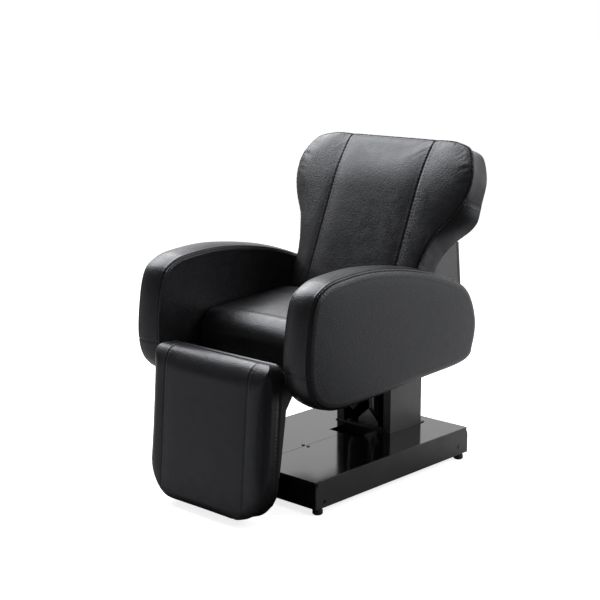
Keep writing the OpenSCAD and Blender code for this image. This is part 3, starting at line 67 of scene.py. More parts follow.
def addCamera(look):
    a, e = math.radians(look["azimuth"]), math.radians(look["elevation"])
    away = Vector((math.sin(a) * math.cos(e), -math.cos(a) * math.cos(e), math.sin(e)))
    camera = bpy.data.objects.new("camera", bpy.data.cameras.new("camera"))
    camera.location = Vector(look["target"]) + away * look["distance"]
    camera.rotation_euler = away.to_track_quat("Z", "Y").to_euler()
    camera.data.lens = look["lens"]
    camera.data.sensor_width = look["sensor"]
    bpy.context.scene.collection.objects.link(camera)
    bpy.context.scene.camera = camera


def addLamp(name, look):
    light = bpy.data.lights.new(name, "AREA")
    light.shape = "RECTANGLE"
    light.size, light.size_y = look["size"]
    light.energy = look["watts"]
    lamp = bpy.data.objects.new(name, light)
    lamp.location = look["place"]
    lamp.rotation_euler = (Vector(look["place"]) - Vector(look["aim"])).to_track_quat("Z", "Y").to_euler()
    bpy.context.scene.collection.objects.link(lamp)


# Adds a node; its inputs are given as values or as the sockets that feed them
def put(tree, kind, inputs=None, **settings):
    node = tree.nodes.new("ShaderNode" + kind)
    for key, value in settings.items():
        setattr(node, key, value)
    for key, value in (inputs or {}).items():
        if isinstance(value, bpy.types.NodeSocket):
            tree.links.new(value, node.inputs[key])
        else:
            node.inputs[key].default_value = value
    return node


def math2(tree, operation, a, b):
    return put(tree, "Math", {0: a, 1: b}, operation=operation).outputs[0]


# What shiny faces mirror: a room that is bright behind the chair and dark at its front right
def roomGlow(tree, look, direction, front):
    ahead = put(tree, "SeparateXYZ", {0: direction}).outputs["Y"]
    glow = put(tree, "MapRange", {0: ahead, 1: -0.6, 2: 0.6, 3: front, 4: look["rearGlow"]},
               interpolation_type="SMOOTHSTEP").outputs[0]
    toward = put(tree, "VectorMath", {0: direction, 1: look["darkSide"]},
                 operation="DOT_PRODUCT").outputs["Value"]
    near, full = look["darkReach"]
    shade = put(tree, "MapRange", {0: toward, 1: near, 2: full, 3: 1.0, 4: look["darkShare"]},
                interpolation_type="SMOOTHSTEP").outputs[0]
    return math2(tree, "MULTIPLY", glow, shade)


def mirroredRay(tree, path):
    return math2(tree, "MAXIMUM", path.outputs["Is Glossy Ray"], path.outputs["Is Transmission Ray"])


def addStudio(look):
    world = bpy.data.worlds.new("studio")
    bpy.context.scene.world = world
    world.use_nodes = True
    tree = world.node_tree
    tree.nodes.clear()
    path = put(tree, "LightPath")
    direction = put(tree, "TexCoord").outputs["Generated"]
    low, high = look["ceiling"]
    ceiling = put(tree, "MapRange", {0: put(tree, "SeparateXYZ", {0: direction}).outputs["Z"], 1: low,
                                     2: high, 3: 1.0, 4: look["ceilingShare"]},
                  interpolation_type="SMOOTHSTEP").outputs[0]
    glow = math2(tree, "MULTIPLY", roomGlow(tree, look, direction, look["frontGlow"]), ceiling)
    level = put(tree, "Mix", {0: mirroredRay(tree, path), 2: look["fill"], 3: glow})
    seen = put(tree, "Mix", {0: path.outputs["Is Camera Ray"], 2: level.outputs[0], 3: look["backdrop"]})
    background = put(tree, "Background", {"Color": (1, 1, 1, 1), "Strength": seen.outputs[0]})
    put(tree, "OutputWorld", {"Surface": background.outputs[0]})

    half = look["floorWidth"] / 2
    mesh = bpy.data.meshes.new("floor")
    mesh.from_pydata([(-half, -half, 0), (half, -half, 0), (half, half, 0), (-half, half, 0)], [],
                     [(0, 1, 2, 3)])
    floor = bpy.data.objects.new("floor", mesh)
    bpy.context.scene.collection.objects.link(floor)
    paper = bpy.data.materials.new("floorPaper")
    paper.use_nodes = True
    tree = paper.node_tree
    tree.nodes.clear()
    path = put(tree, "LightPath")
    matt = put(tree, "BsdfDiffuse", {"Color": look["floorColor"]})
    strength = math2(tree, "MULTIPLY", path.outputs["Is Camera Ray"], look["floorGlow"])
    lift = put(tree, "Emission", {"Color": (1, 1, 1, 1), "Strength": strength})
    both = put(tree, "AddShader", {0: matt.outputs[0], 1: lift.outputs[0]})
    # In mirrored rays the floor glows as bright as the room beyond it, with painted shade: darker close to the
    # base, standing in for the chair's shadow
    place = put(tree, "TexCoord").outputs["Object"]
    away = put(tree, "VectorMath", {0: place}, operation="NORMALIZE").outputs[0]
    reach = put(tree, "VectorMath", {0: place}, operation="LENGTH").outputs["Value"]
    near, far = look["shadeRadius"]
    shade = put(tree, "MapRange", {0: reach, 1: near, 2: far, 3: 0.0, 4: 1.0},
                interpolation_type="SMOOTHSTEP").outputs[0]
    glow = math2(tree, "MULTIPLY", roomGlow(tree, look, away, look["frontFloor"]), shade)
    room = put(tree, "Emission", {"Color": (1, 1, 1, 1), "Strength": glow})
    shown = put(tree, "MixShader", {0: mirroredRay(tree, path), 1: both.outputs[0], 2: room.outputs[0]})
    put(tree, "OutputMaterial", {"Surface": shown.outputs[0]})
    mesh.materials.append(paper)


# Materials
def newMaterial(name, look):
    material = bpy.data.materials.new(name)
    material.use_nodes = True
    tree = material.node_tree
    tree.nodes.clear()
    shader = put(tree, "BsdfPrincipled")
    shader.inputs["Metallic"].default_value = look.get("metallic", 0.0)
    shader.inputs["IOR"].default_value = look.get("ior", 1.5)
    shader.inputs["Specular Tint"].default_value = look.get("sheen", (1, 1, 1)) + (1.0,)
    put(tree, "OutputMaterial", {"Surface": shader.outputs[0]})
    place = put(tree, "TexCoord").outputs["Object"]
    return material, tree, shader, place


def noise(tree, place, scale, detail=3.0, roughness=0.55, stretch=None):
    if stretch:
        place = put(tree, "Mapping", {"Vector": place, "Scale": stretch}).outputs[0]
    return put(tree, "TexNoise", {"Vector": place, "Scale": scale, "Detail": detail,
                                  "Roughness": roughness}).outputs["Fac"]


def tint(color, share):
    return tuple(c * share for c in color) + (1.0,)


# Colour that drifts between a darker and a lighter tone of one paint
def driftingColor(tree, shader, mask, color, drift):
    ramp = put(tree, "ValToRGB", {"Fac": mask})
    ramp.color_ramp.elements[0].position, ramp.color_ramp.elements[1].position = 0.3, 0.7
    ramp.color_ramp.elements[0].color = tint(color, 1 - drift)
    ramp.color_ramp.elements[1].color = tint(color, 1 + drift)
    tree.links.new(ramp.outputs[0], shader.inputs["Base Color"])
    return ramp.outputs[0]


def driftingRoughness(tree, shader, mask, middle, spread):
    spreadOut = put(tree, "MapRange", {0: mask, 1: 0.3, 2: 0.7, 3: middle - spread, 4: middle + spread})
    tree.links.new(spreadOut.outputs[0], shader.inputs["Roughness"])
    return spreadOut.outputs[0]


leatherLook = {
    "color": (0.0085, 0.0086, 0.0095), "patch": 9.0, "drift": 0.16, "sheen": (0.9, 0.92, 1.0),
    "mottle": 34.0, "roughness": 0.35, "spread": 0.05, "seamShade": 0.6, "seamShadeTint": 0.35,
    "bend": 160.0, "bendBy": (0.003, 0.003, 0.003), "pebble": 620.0, "pebbleShare": -1.0,
    "wideScale": 0.37, "wideShare": -0.8, "pore": 2100.0, "poreShare": 0.25,
    "pleat": 11 * mm, "pleatDrift": 30.0, "pleatDriftBy": 9.0,
    "fold": 42.0, "crease": 300.0, "creaseStretch": (0.6, 0.6, 1.0),
    "bumps": {"fold": (0.5 * mm, 0.5), "pleat": (0.35 * mm, 0.35), "crease": (0.8 * mm, 0.7),
              "grain": (0.1 * mm, 0.8)},
}


# Pebbled synthetic leather that puckers along its seams, with painted shade darkening its colour near them
def leatherMaterial(name, look):
    material, tree, shader, place = newMaterial(name, look)
    near = put(tree, "Attribute", attribute_name="seamNear").outputs["Fac"]
    along = put(tree, "Attribute", attribute_name="seamAlong").outputs["Fac"]
    color = driftingColor(tree, shader, noise(tree, place, look["patch"]), look["color"], look["drift"])
    # Painted shade: near the seams the colour is mixed towards a darker tone, standing in for the shade in their
    # grooves
    shade = math2(tree, "MULTIPLY", near, 1 - look["seamShade"])
    dark = put(tree, "Mix", {0: shade, 6: color, 7: tint(look["color"], look["seamShadeTint"])},
               data_type="RGBA")
    tree.links.new(dark.outputs[2], shader.inputs["Base Color"])
    driftingRoughness(tree, shader, noise(tree, place, look["mottle"]), look["roughness"], look["spread"])
    bend = put(tree, "TexNoise", {"Vector": place, "Scale": look["bend"]}).outputs[1]
    bend = put(tree, "VectorMath", {0: bend, 1: look["bendBy"]}, operation="MULTIPLY").outputs[0]
    bent = put(tree, "VectorMath", {0: place, 1: bend}, operation="ADD").outputs[0]
    cells = [put(tree, "TexVoronoi", {"Vector": bent, "Scale": look["pebble"] * scale},
                 feature="SMOOTH_F1").outputs["Distance"] for scale in (1.0, look["wideScale"])]
    pebble, wide = [math2(tree, "MULTIPLY", cell, look[share])
                    for cell, share in zip(cells, ("pebbleShare", "wideShare"))]
    pore = math2(tree, "MULTIPLY", noise(tree, place, look["pore"], 2.0), look["poreShare"])
    drift = math2(tree, "MULTIPLY", noise(tree, place, look["pleatDrift"], 1.0), look["pleatDriftBy"])
    phase = math2(tree, "ADD", math2(tree, "MULTIPLY", along, 2 * math.pi / look["pleat"]), drift)
    heights = {
        "fold": noise(tree, place, look["fold"], 2.0),
        "pleat": math2(tree, "MULTIPLY", math2(tree, "SINE", phase, 0.0), near),
        "crease": noise(tree, place, look["crease"], 3.0, 0.5, look["creaseStretch"]),
        "grain": math2(tree, "ADD", math2(tree, "ADD", pebble, wide), pore),
    }
    normal = {}
    for kind, (distance, strength) in look["bumps"].items():
        bump = put(tree, "Bump", {"Height": heights[kind], "Distance": distance, "Strength": strength,
                                  **normal})
        normal = {"Normal": bump.outputs[0]}
    tree.links.new(normal["Normal"], shader.inputs["Normal"])
    return material


coatBasis = {"patch": 14.0, "drift": 0.1, "mottle": 2.3, "spread": 0.04, "edge": 0.5 * mm,
             "grain": 900.0, "depth": 0.05 * mm, "strength": 0.5, "stretch": None}


# Painted, moulded or cast surface with a fine texture; its sharp edges can catch the light
def coatMaterial(name, look):
    material, tree, shader, place = newMaterial(name, look)
    driftingColor(tree, shader, noise(tree, place, look["patch"]), look["color"], look["drift"])
    driftingRoughness(tree, shader, noise(tree, place, look["patch"] * look["mottle"], 4.0),
                      look["roughness"], look["spread"])
    rounded = put(tree, "Bevel", {"Radius": look["edge"]}, samples=4).outputs[0]
    texture = noise(tree, place, look["grain"], 3.0, 0.6, look["stretch"])
    bump = put(tree, "Bump", {"Height": texture, "Distance": look["depth"], "Strength": look["strength"],
                              "Normal": rounded})
    tree.links.new(bump.outputs[0], shader.inputs["Normal"])
    return material


# Plywood: layers seen at the edge, long grain on the face
def plywoodMaterial(name, look):
    material, tree, shader, place = newMaterial(name, look)
    layers = put(tree, "TexWave", {"Vector": place, "Scale": look["layers"], "Distortion": look["uneven"]},
                 bands_direction="Z").outputs["Fac"]
    grain = noise(tree, place, look["grain"], 5.0, 0.6, look["stretch"])
    mask = math2(tree, "ADD", math2(tree, "MULTIPLY", layers, look["layerShare"]),
                 math2(tree, "MULTIPLY", grain, 1 - look["layerShare"]))
    driftingColor(tree, shader, mask, look["color"], look["drift"])
    driftingRoughness(tree, shader, grain, look["roughness"], look["spread"])
    bump = put(tree, "Bump", {"Height": grain, "Distance": look["depth"], "Strength": look["strength"]})
    tree.links.new(bump.outputs[0], shader.inputs["Normal"])
    return material


coatLooks = {
    "vinyl_backed_board": {"color": (0.007, 0.007, 0.0076), "roughness": 0.42, "grain": 520.0,
                           "depth": 0.12 * mm, "edge": 1.5 * mm},
    "gloss_cover": {"color": (0.004, 0.004, 0.0045), "roughness": 0.12, "spread": 0.02, "ior": 1.9,
                    "grain": 260.0, "depth": 0.002 * mm, "edge": 1.2 * mm, "patch": 6.0},
    "side_panel_paint": {"color": (0.028, 0.028, 0.029), "roughness": 0.5, "grain": 1100.0,
                         "depth": 0.09 * mm, "edge": 1.0 * mm},
    "column_paint": {"color": (0.05, 0.05, 0.052), "roughness": 0.4, "grain": 900.0, "edge": 1.5 * mm},
    "frame_paint": {"color": (0.012, 0.012, 0.013), "roughness": 0.45, "grain": 700.0},
    "cast_aluminium": {"color": (0.55, 0.55, 0.56), "roughness": 0.38, "metallic": 1.0, "grain": 420.0,
                       "depth": 0.12 * mm},
    "bright_steel": {"color": (0.62, 0.62, 0.63), "roughness": 0.16, "metallic": 1.0, "grain": 600.0,
                     "depth": 0.01 * mm, "stretch": (1.0, 1.0, 0.05)},
    "zinc_steel": {"color": (0.5, 0.51, 0.53), "roughness": 0.32, "metallic": 1.0, "grain": 800.0},
    "black_screw": {"color": (0.01, 0.01, 0.01), "roughness": 0.35, "grain": 900.0},
    "foot_rubber": {"color": (0.013, 0.013, 0.013), "roughness": 0.62, "grain": 1400.0,
                    "depth": 0.08 * mm},
    "black_plastic": {"color": (0.014, 0.014, 0.015), "roughness": 0.48, "grain": 1500.0,
                      "depth": 0.06 * mm},
    "guide_nylon": {"color": (0.5, 0.49, 0.46), "roughness": 0.5, "grain": 900.0},
    "rear_cover_paint": {"color": (0.085, 0.084, 0.088), "roughness": 0.42, "grain": 900.0,
                         "edge": 1.2 * mm},
    "rear_panel_black": {"color": (0.009, 0.009, 0.009), "roughness": 0.4, "grain": 600.0,
                         "edge": 1.2 * mm},
}
plywoodLook = {"color": (0.42, 0.28, 0.15), "drift": 0.3, "roughness": 0.55, "spread": 0.08,
               "layers": 110.0, "uneven": 0.4, "layerShare": 0.4, "grain": 60.0,
               "stretch": (14.0, 1.0, 1.0), "depth": 0.2 * mm, "strength": 0.4}


def makeMaterials():
    made = {name: coatMaterial(name, {**coatBasis, **look}) for name, look in coatLooks.items()}
    made["upholstery"] = leatherMaterial("upholstery", leatherLook)
    made["plywood"] = plywoodMaterial("plywood", plywoodLook)
    return made


def dressNodes(materials):
    for part in frame["record"]["subparts"]:
        mesh = frame["nodes"][part["node"]].data
        mesh.materials.clear()
        mesh.materials.append(materials[part["material_slot"]])


# Curves and point sets
def easeEnds(count, amount=0.7):
    t = np.linspace(0, 1, count + 1)
    return (1 - amount) * t + amount * (0.5 - 0.5 * np.cos(math.pi * t))


# A smooth curve through points, closed or open
def curveThrough(points, steps, closed=False):
    p = np.array(points, float)
    n = len(p)
    out = []
    for i in range(n if closed else n - 1):
        near = [(i + k) % n if closed else min(max(i + k, 0), n - 1) for k in (-1, 0, 1, 2)]
        a, b, c, d = p[near]
        for t in np.arange(steps) / steps:
            out.append(b + (c - a) * t / 2 + (a - 2.5 * b + 2 * c - d / 2) * t * t
                       + (3 * b - a - 3 * c + d) * t ** 3 / 2)
    return np.array(out if closed else out + [p[-1]])


def runLength(points, closed=False):
    steps = np.linalg.norm(np.diff(np.vstack([points, points[:1]]) if closed else points, axis=0), axis=1)
    return np.concatenate([[0], np.cumsum(steps)])


# Points at given shares of a curve's own length
def pointsAt(points, shares, closed=False):
    line = np.vstack([points, points[:1]]) if closed else points
    run = runLength(line)
    return np.stack([np.interp(np.asarray(shares) * run[-1], run, line[:, k])
                     for k in range(line.shape[1])], axis=1)


# A closed anticlockwise outline moved inwards
def insetLoop(loop, distance):
    along = np.roll(loop, -1, axis=0) - np.roll(loop, 1, axis=0)
    along /= np.linalg.norm(along, axis=1)[:, None]
    return loop + np.stack([-along[:, 1], along[:, 0]], axis=1) * distance


def smoothStep(t):
    t = np.clip(t, 0, 1)
    return t * t * (3 - 2 * t)


# Meshes
def addMesh(name, points, faces, creaseAngle=55):
    mesh = bpy.data.meshes.new(name)
    mesh.from_pydata(np.asarray(points).tolist(), [], faces)
    tidy = bmesh.new()
    tidy.from_mesh(mesh)
    bmesh.ops.remove_doubles(tidy, verts=tidy.verts, dist=0.02 * mm)
    bmesh.ops.recalc_face_normals(tidy, faces=tidy.faces)
    tidy.to_mesh(mesh)
    tidy.free()
    mesh.shade_smooth()
    mesh.set_sharp_from_angle(angle=math.radians(creaseAngle))
    piece = bpy.data.objects.new(name, mesh)
    bpy.context.scene.collection.objects.link(piece)
    return piece


def meshPoints(piece):
    flat = np.zeros(len(piece.data.vertices) * 3, np.float32)
    piece.data.vertices.foreach_get("co", flat)
    return flat.reshape(-1, 3).astype(float)


def setMeshPoints(piece, points):
    piece.data.vertices.foreach_set("co", points.astype(np.float32).ravel())
    piece.data.update()


def meshNormals(piece):
    flat = np.zeros(len(piece.data.vertices) * 3, np.float32)
    piece.data.vertex_normals.foreach_get("vector", flat)
    return flat.reshape(-1, 3).astype(float)


# A closed skin from loops of equal length, each end closed by a fan
def loopSkin(name, loops, creaseAngle=55):
    count, n = len(loops), len(loops[0])
    points = [p for loop in loops for p in loop]
    faces = [(i * n + j, i * n + (j + 1) % n, (i + 1) * n + (j + 1) % n, (i + 1) * n + j)
             for i in range(count - 1) for j in range(n)]
    for first in (0, (count - 1) * n):
        points.append(np.mean(points[first:first + n], axis=0))
        faces += [(first + j, first + (j + 1) % n, len(points) - 1) for j in range(n)]
    return addMesh(name, points, faces, creaseAngle)


# A sheet's rim, once round its rows and columns
def rimOf(grid):
    return np.concatenate([grid[0], grid[1:, -1], grid[-1, -2::-1], grid[-2:0:-1, 0]])


# How soon a strip widens between its front edge and its wider rear
def flareRise(t):
    return 1 - (1 - t) ** 3


# A closed pad: a front sheet of rows and columns, the strip round its edge and a flat rear,
# which may be wider than the front
def sheetPad(name, front, rearY, stripShares, stripPull, flare=lambda z: 0 * z):
    rows, columns = front.shape[:2]
    half = np.abs(front[:, :, 0]).max(axis=1, keepdims=True)
    wider = (1 + flare(front[:, :1, 2]) / half)[:, :, None] * (1, 0, 0) + (0, 1, 1)
    ids = np.arange(rows * columns).reshape(rows, columns)
    edge = rimOf(ids)
    points = front.reshape(-1, 3)
    rim = points[edge]
    along = np.roll(rim, -1, axis=0) - np.roll(rim, 1, axis=0)
    along /= np.linalg.norm(along[:, [0, 2]], axis=1)[:, None]
    outward = np.stack([along[:, 2], 0 * along[:, 0], -along[:, 0]], axis=1)
    rear = (front * wider).reshape(-1, 3) * (1, 0, 1) + (0, rearY, 0)
    spread = (rear[edge] - rim) * (1, 0, 0)
    strip = [rim * (1, 0, 1) + (rim[:, 1:2] * (1 - t) + rearY * t) * (0, 1, 0) + outward * pull
             + spread * flareRise(t) for t, pull in zip(stripShares, stripPull)]
    n, base = len(edge), rows * columns
    loops = [edge] + [np.arange(base + k * n, base + (k + 1) * n) for k in range(len(strip))]
    rearBase = base + len(strip) * n
    loops.append(edge + rearBase)
    quads = [(a[j], a[(j + 1) % n], b[(j + 1) % n], b[j]) for a, b in zip(loops, loops[1:]) for j in range(n)]
    for start in (0, rearBase):
        quads += [(start + ids[i, j], start + ids[i, j + 1], start + ids[i + 1, j + 1], start + ids[i + 1, j])
                  for i in range(rows - 1) for j in range(columns - 1)]
    quads = [tuple(int(v) for v in q) for q in quads]
    return addMesh(name, np.vstack([points] + strip + [rear]), quads)


# A round bead along a path
def beadAlong(name, path, radius, closed=True, sides=8):
    path = np.asarray(path, float)
    ahead = np.roll(path, -1, axis=0) - np.roll(path, 1, axis=0)
    if not closed:
        ahead[0], ahead[-1] = path[1] - path[0], path[-1] - path[-2]
    ahead /= np.linalg.norm(ahead, axis=1)[:, None]
    side = np.cross(ahead[0], (0.31, 0.54, 0.78))
    rings = []
    for p, t in zip(path, ahead):
        side = side - t * side.dot(t)
        side /= np.linalg.norm(side)
        up = np.cross(t, side)
        rings.append([p + radius * (math.cos(a) * side + math.sin(a) * up)
                      for a in np.arange(sides) * 2 * math.pi / sides])
    count = len(rings)
    faces = [(i * sides + j, i * sides + (j + 1) % sides, (i + 1) % count * sides + (j + 1) % sides,
              (i + 1) % count * sides + j) for i in range(count if closed else count - 1) for j in range(sides)]
    if not closed:
        faces += [tuple(range(sides)), tuple(range((count - 1) * sides, count * sides))]
    return addMesh(name, np.array(rings).reshape(-1, 3), faces)


sewnLook = {"width": 3.2 * mm, "depth": 1.7 * mm, "joinDepth": 2.4 * mm, "lip": 0.5 * mm, "reach": 10 * mm}


# How far each point lies from the nearest seam, how far along it, and which seam it is
def seamPlaces(points, seams):
    dense = [pointsAt(s, np.linspace(0, 1, int(runLength(s)[-1] / mm) + 2)) for s in seams]
    tree = kdtree.KDTree(sum(len(d) for d in dense))
    along = np.concatenate([runLength(d) for d in dense])
    which = np.concatenate([np.full(len(d), k) for k, d in enumerate(dense)])
    for i, p in enumerate(np.vstack(dense)):
        tree.insert(Vector(p), i)
    tree.balance()
    found = [tree.find(Vector(p)) for p in points]
    nearest = [f[1] for f in found]
    return np.array([f[2] for f in found]), along[nearest], which[nearest]


fillLook = {"pressure": 8.0, "frames": 9, "quality": 3, "cap": 3.5 * mm, "hold": 2 * mm, "soften": 9 * mm}


# Blows a skin up as cloth over its fill, held along its seams and where it lies on its board
def fillSkin(piece, seams, onBoard, look=fillLook):
    scene = bpy.context.scene
    points = meshPoints(piece)
    distance = seamPlaces(points, seams)[0]
    held = np.clip(1 - (distance - look["hold"]) / look["soften"], 0, 1) ** 2
    held[onBoard(points)] = 1
    group = piece.vertex_groups.new(name="held")
    for i in np.nonzero(held > 0.01)[0]:
        group.add([int(i)], float(held[i]), "REPLACE")
    skin = piece.modifiers.new("skin", "CLOTH")
    skin.settings.vertex_group_mass = "held"
    skin.settings.quality = look["quality"]
    skin.settings.use_pressure = True
    skin.settings.uniform_pressure_force = look["pressure"]
    skin.settings.effector_weights.gravity = 0
    skin.collision_settings.use_collision = False
    skin.point_cache.frame_start, skin.point_cache.frame_end = 1, look["frames"]
    for step in range(1, look["frames"] + 1):
        scene.frame_set(step)
    shaped = piece.evaluated_get(bpy.context.evaluated_depsgraph_get())
    flat = np.zeros(len(points) * 3, np.float32)
    shaped.data.vertices.foreach_get("co", flat)
    piece.modifiers.remove(skin)
    piece.vertex_groups.remove(group)
    scene.frame_set(1)
    shift = flat.reshape(-1, 3) - points
    length = np.linalg.norm(shift, axis=1)
    print("  filled by", round(float(length.max()) * 1000, 1), "mm at most before the cap")
    setMeshPoints(piece, points + shift * (look["cap"] * np.tanh(length / look["cap"])
                                           / np.maximum(length, 1e-9))[:, None])


# Pulls a skin in along its seams, and deeper along the joins in its strip, and notes how near and
# how far along a seam each point lies
def sewSeams(piece, seams, joins=(), look=sewnLook):
    points = meshPoints(piece)
    distance, place, which = seamPlaces(points, list(seams) + list(joins))
    depth = np.where(which < len(seams), look["depth"], look["joinDepth"])
    sink = depth * np.clip(1 - distance / look["width"], 0, 1) ** 1.3
    lip = look["lip"] * np.exp(-((distance - 1.7 * look["width"]) / look["width"]) ** 2)
    setMeshPoints(piece, points + meshNormals(piece) * (lip - sink)[:, None])
    for name, values in (("seamNear", np.exp(-(distance / look["reach"]) ** 2)), ("seamAlong", place)):
        piece.data.attributes.new(name, "FLOAT", "POINT").data.foreach_set("value", values.astype(np.float32))


def finishPiece(piece, material, body, turn=None):
    if turn:
        piece.data.transform(turn)
    piece.data.materials.append(material)
    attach(piece, body)
    return piece


# Backrest: middle panel, two wings and a boxing strip, in the tilted frame of its hinge
backLook = {
    "tilt": 23, "foot": 17 * mm, "length": 508 * mm, "halfWidth": 319 * mm, "face": 89.4 * mm,
    "rear": 0.4 * mm, "edgeDrop": 11 * mm, "lowEdgeDrop": 3 * mm, "edgeDropShares": (0.4, 0.62),
    "seamX": 153 * mm, "seamDepth": 2.5 * mm, "seamFall": 16,
    "flare": 34 * mm, "flareAt": 0.555, "flareSpread": 0.11,
    "rollLength": 165 * mm, "rollDrop": 24 * mm, "wingDrop": 3 * mm, "wingEdgePower": 2.4, "wingRoll": 0.65,
    "wingRootShare": 0.7, "wingRootPower": 1.6, "edgeRound": 9 * mm, "edgeReach": 26 * mm, "pull": 3 * mm,
    "crossSeam": 0.675, "joinReach": 0.93, "joinDepth": 1 * mm, "piping": 1.7 * mm,
    "rows": 110, "midColumns": 54, "wingColumns": 34,
    "widthShares": [[0, .692], [.12, .692], [.24, .692], [.338, .716], [.465, .782], [.537, .853],
                    [.602, .921], [.68, .975], [.753, .998], [.833, .988], [.93, .92], [.975, .845],
                    [1, .70]],
}


# x of each column in each row: the middle panel keeps its width, the side panels share the rest
def panelColumns(halfWidths, seamX, midColumns, sideColumns):
    middle = 2 * easeEnds(midColumns, 0.6) - 1
    side = easeEnds(sideColumns, 0.6)[1:]
    rows = []
    for half in halfWidths:
        seam = min(seamX, half - 12 * mm)
        outer = seam + (half - seam) * side
        rows.append(np.concatenate([-outer[::-1], middle * seam, outer]))
    return np.array(rows)


def edgeDistance(x, z, outline):
    tree = kdtree.KDTree(len(outline))
    for i, p in enumerate(outline):
        tree.insert(Vector((p[0], 0, p[1])), i)
    tree.balance()
    return np.array([tree.find(Vector((a, 0, b)))[2] for a, b in zip(x.ravel(), z.ravel())]).reshape(x.shape)


def quarterRound(distance, radius):
    t = np.clip(1 - distance / radius, 0, 1)
    return radius * (1 - np.sqrt(1 - t * t))


def backFront(look, x, z, half):
    top = look["foot"] + look["length"]
    roll = look["rollDrop"] * np.clip((z - top + look["rollLength"]) / look["rollLength"], 0, None) ** 2
    middle = (roll - look["face"]
              + look["seamDepth"] * np.clip(np.abs(x) / look["seamX"], 0, 1) ** look["seamFall"])
    t = np.clip((np.abs(x) - look["seamX"]) / (half - look["seamX"]), 0, 1)
    low, high = look["edgeDropShares"]
    share = smoothStep(((z - look["foot"]) / look["length"] - low) / (high - low))
    drop = look["lowEdgeDrop"] + (look["edgeDrop"] - look["lowEdgeDrop"]) * share
    drop = np.maximum(drop, look["seamDepth"] + roll)
    crest = look["wingDrop"] + look["wingRoll"] * roll
    wing = (crest - look["face"] + (drop - crest) * t ** look["wingEdgePower"]
            + (look["seamDepth"] + roll - crest)
            * np.clip(1 - t / look["wingRootShare"], 0, None) ** look["wingRootPower"])
    return np.where(np.abs(x) <= look["seamX"], middle, np.minimum(drop - look["face"], wing))


def addBack(look, material):
    print("backrest: sewing the panels")
    side = curveThrough([[look["foot"] + s * look["length"], w * look["halfWidth"]]
                         for s, w in look["widthShares"]], 12)
    side = pointsAt(side, easeEnds(look["rows"], 0.4))
    x = panelColumns(side[:, 1], look["seamX"], look["midColumns"], look["wingColumns"])
    z = np.repeat(side[:, :1], x.shape[1], axis=1)
    outline = np.vstack([side[:, ::-1], side[::-1, ::-1] * (-1, 1)])
    outline = pointsAt(outline, np.linspace(0, 1, 1800), closed=True)
    y = backFront(look, x, z, np.repeat(side[:, 1:], x.shape[1], axis=1))
    y = y + look["edgeRound"] / look["edgeReach"] * quarterRound(edgeDistance(x, z, outline), look["edgeReach"])
    shares = easeEnds(14, 0.6)[1:-1]

    def flare(height):
        share = (height - look["foot"]) / look["length"]
        return look["flare"] * np.exp(-((share - look["flareAt"]) / look["flareSpread"]) ** 2)

    front = np.stack([x, y, z], axis=2)
    piece = sheetPad("backUpholstery", front, -look["rear"], shares, -look["pull"] * np.sin(math.pi * shares),
                     flare)
    edge = rimOf(front)
    middleColumn = x.shape[1] // 2
    seams = [np.vstack([edge, edge[:1]])]
    joins = []
    for s in (-1, 1):
        seams.append(front[:, middleColumn + s * (look["midColumns"] // 2)])
        row = int(np.argmin(np.abs(side[:, 0] - look["foot"] - look["crossSeam"] * look["length"])))
        start = np.array([s * side[row, 1], y[row, 0], side[row, 0]])
        steps = np.linspace(0, look["joinReach"], 25)[:, None]
        ahead = side[row + 1] - side[row - 1]
        outward = np.array([s * ahead[0], 0, -ahead[1]]) / np.linalg.norm(ahead)
        joins.append(start * (1, 0, 1) + (start[1] * (1 - steps) - look["rear"] * steps) * (0, 1, 0)
                     + s * flare(start[2]) * flareRise(steps) * (1, 0, 0)
                     - look["pull"] * np.sin(math.pi * steps) * outward)
    fillSkin(piece, seams + joins, lambda p: p[:, 1] > -look["rear"] - 1 * mm)
    sewSeams(piece, seams, joins, dict(sewnLook, joinDepth=look["joinDepth"]))
    turn = Matrix.Translation(jointAt["recline"]) @ Matrix.Rotation(math.radians(-look["tilt"]), 4, "X")
    finishPiece(piece, material, "backrest", turn=turn)
    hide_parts("back_cushion")
    bead = beadAlong("backPiping", pointsAt(edge, np.linspace(0, 1, 420)[:-1], closed=True), look["piping"])
    finishPiece(bead, material, "backrest", turn=turn)


# Legrest, in the tilted frame of its hinge
legLook = {
    "tilt": 4.4, "top": 36 * mm, "length": 413 * mm, "halfWidth": 212 * mm, "face": 150 * mm,
    "rear": 84 * mm, "seamX": 153 * mm, "crown": 4 * mm, "topRoll": 42 * mm, "topReach": 60 * mm,
    "lowRoll": 16 * mm, "topCorner": 28 * mm, "lowCorner": 98 * mm, "edgeRound": 22 * mm,
    "edgeReach": 34 * mm, "pull": 1.5 * mm, "hem": 6 * mm, "fillCap": 2 * mm,
    "rows": 96, "midColumns": 50, "sideColumns": 22,
}


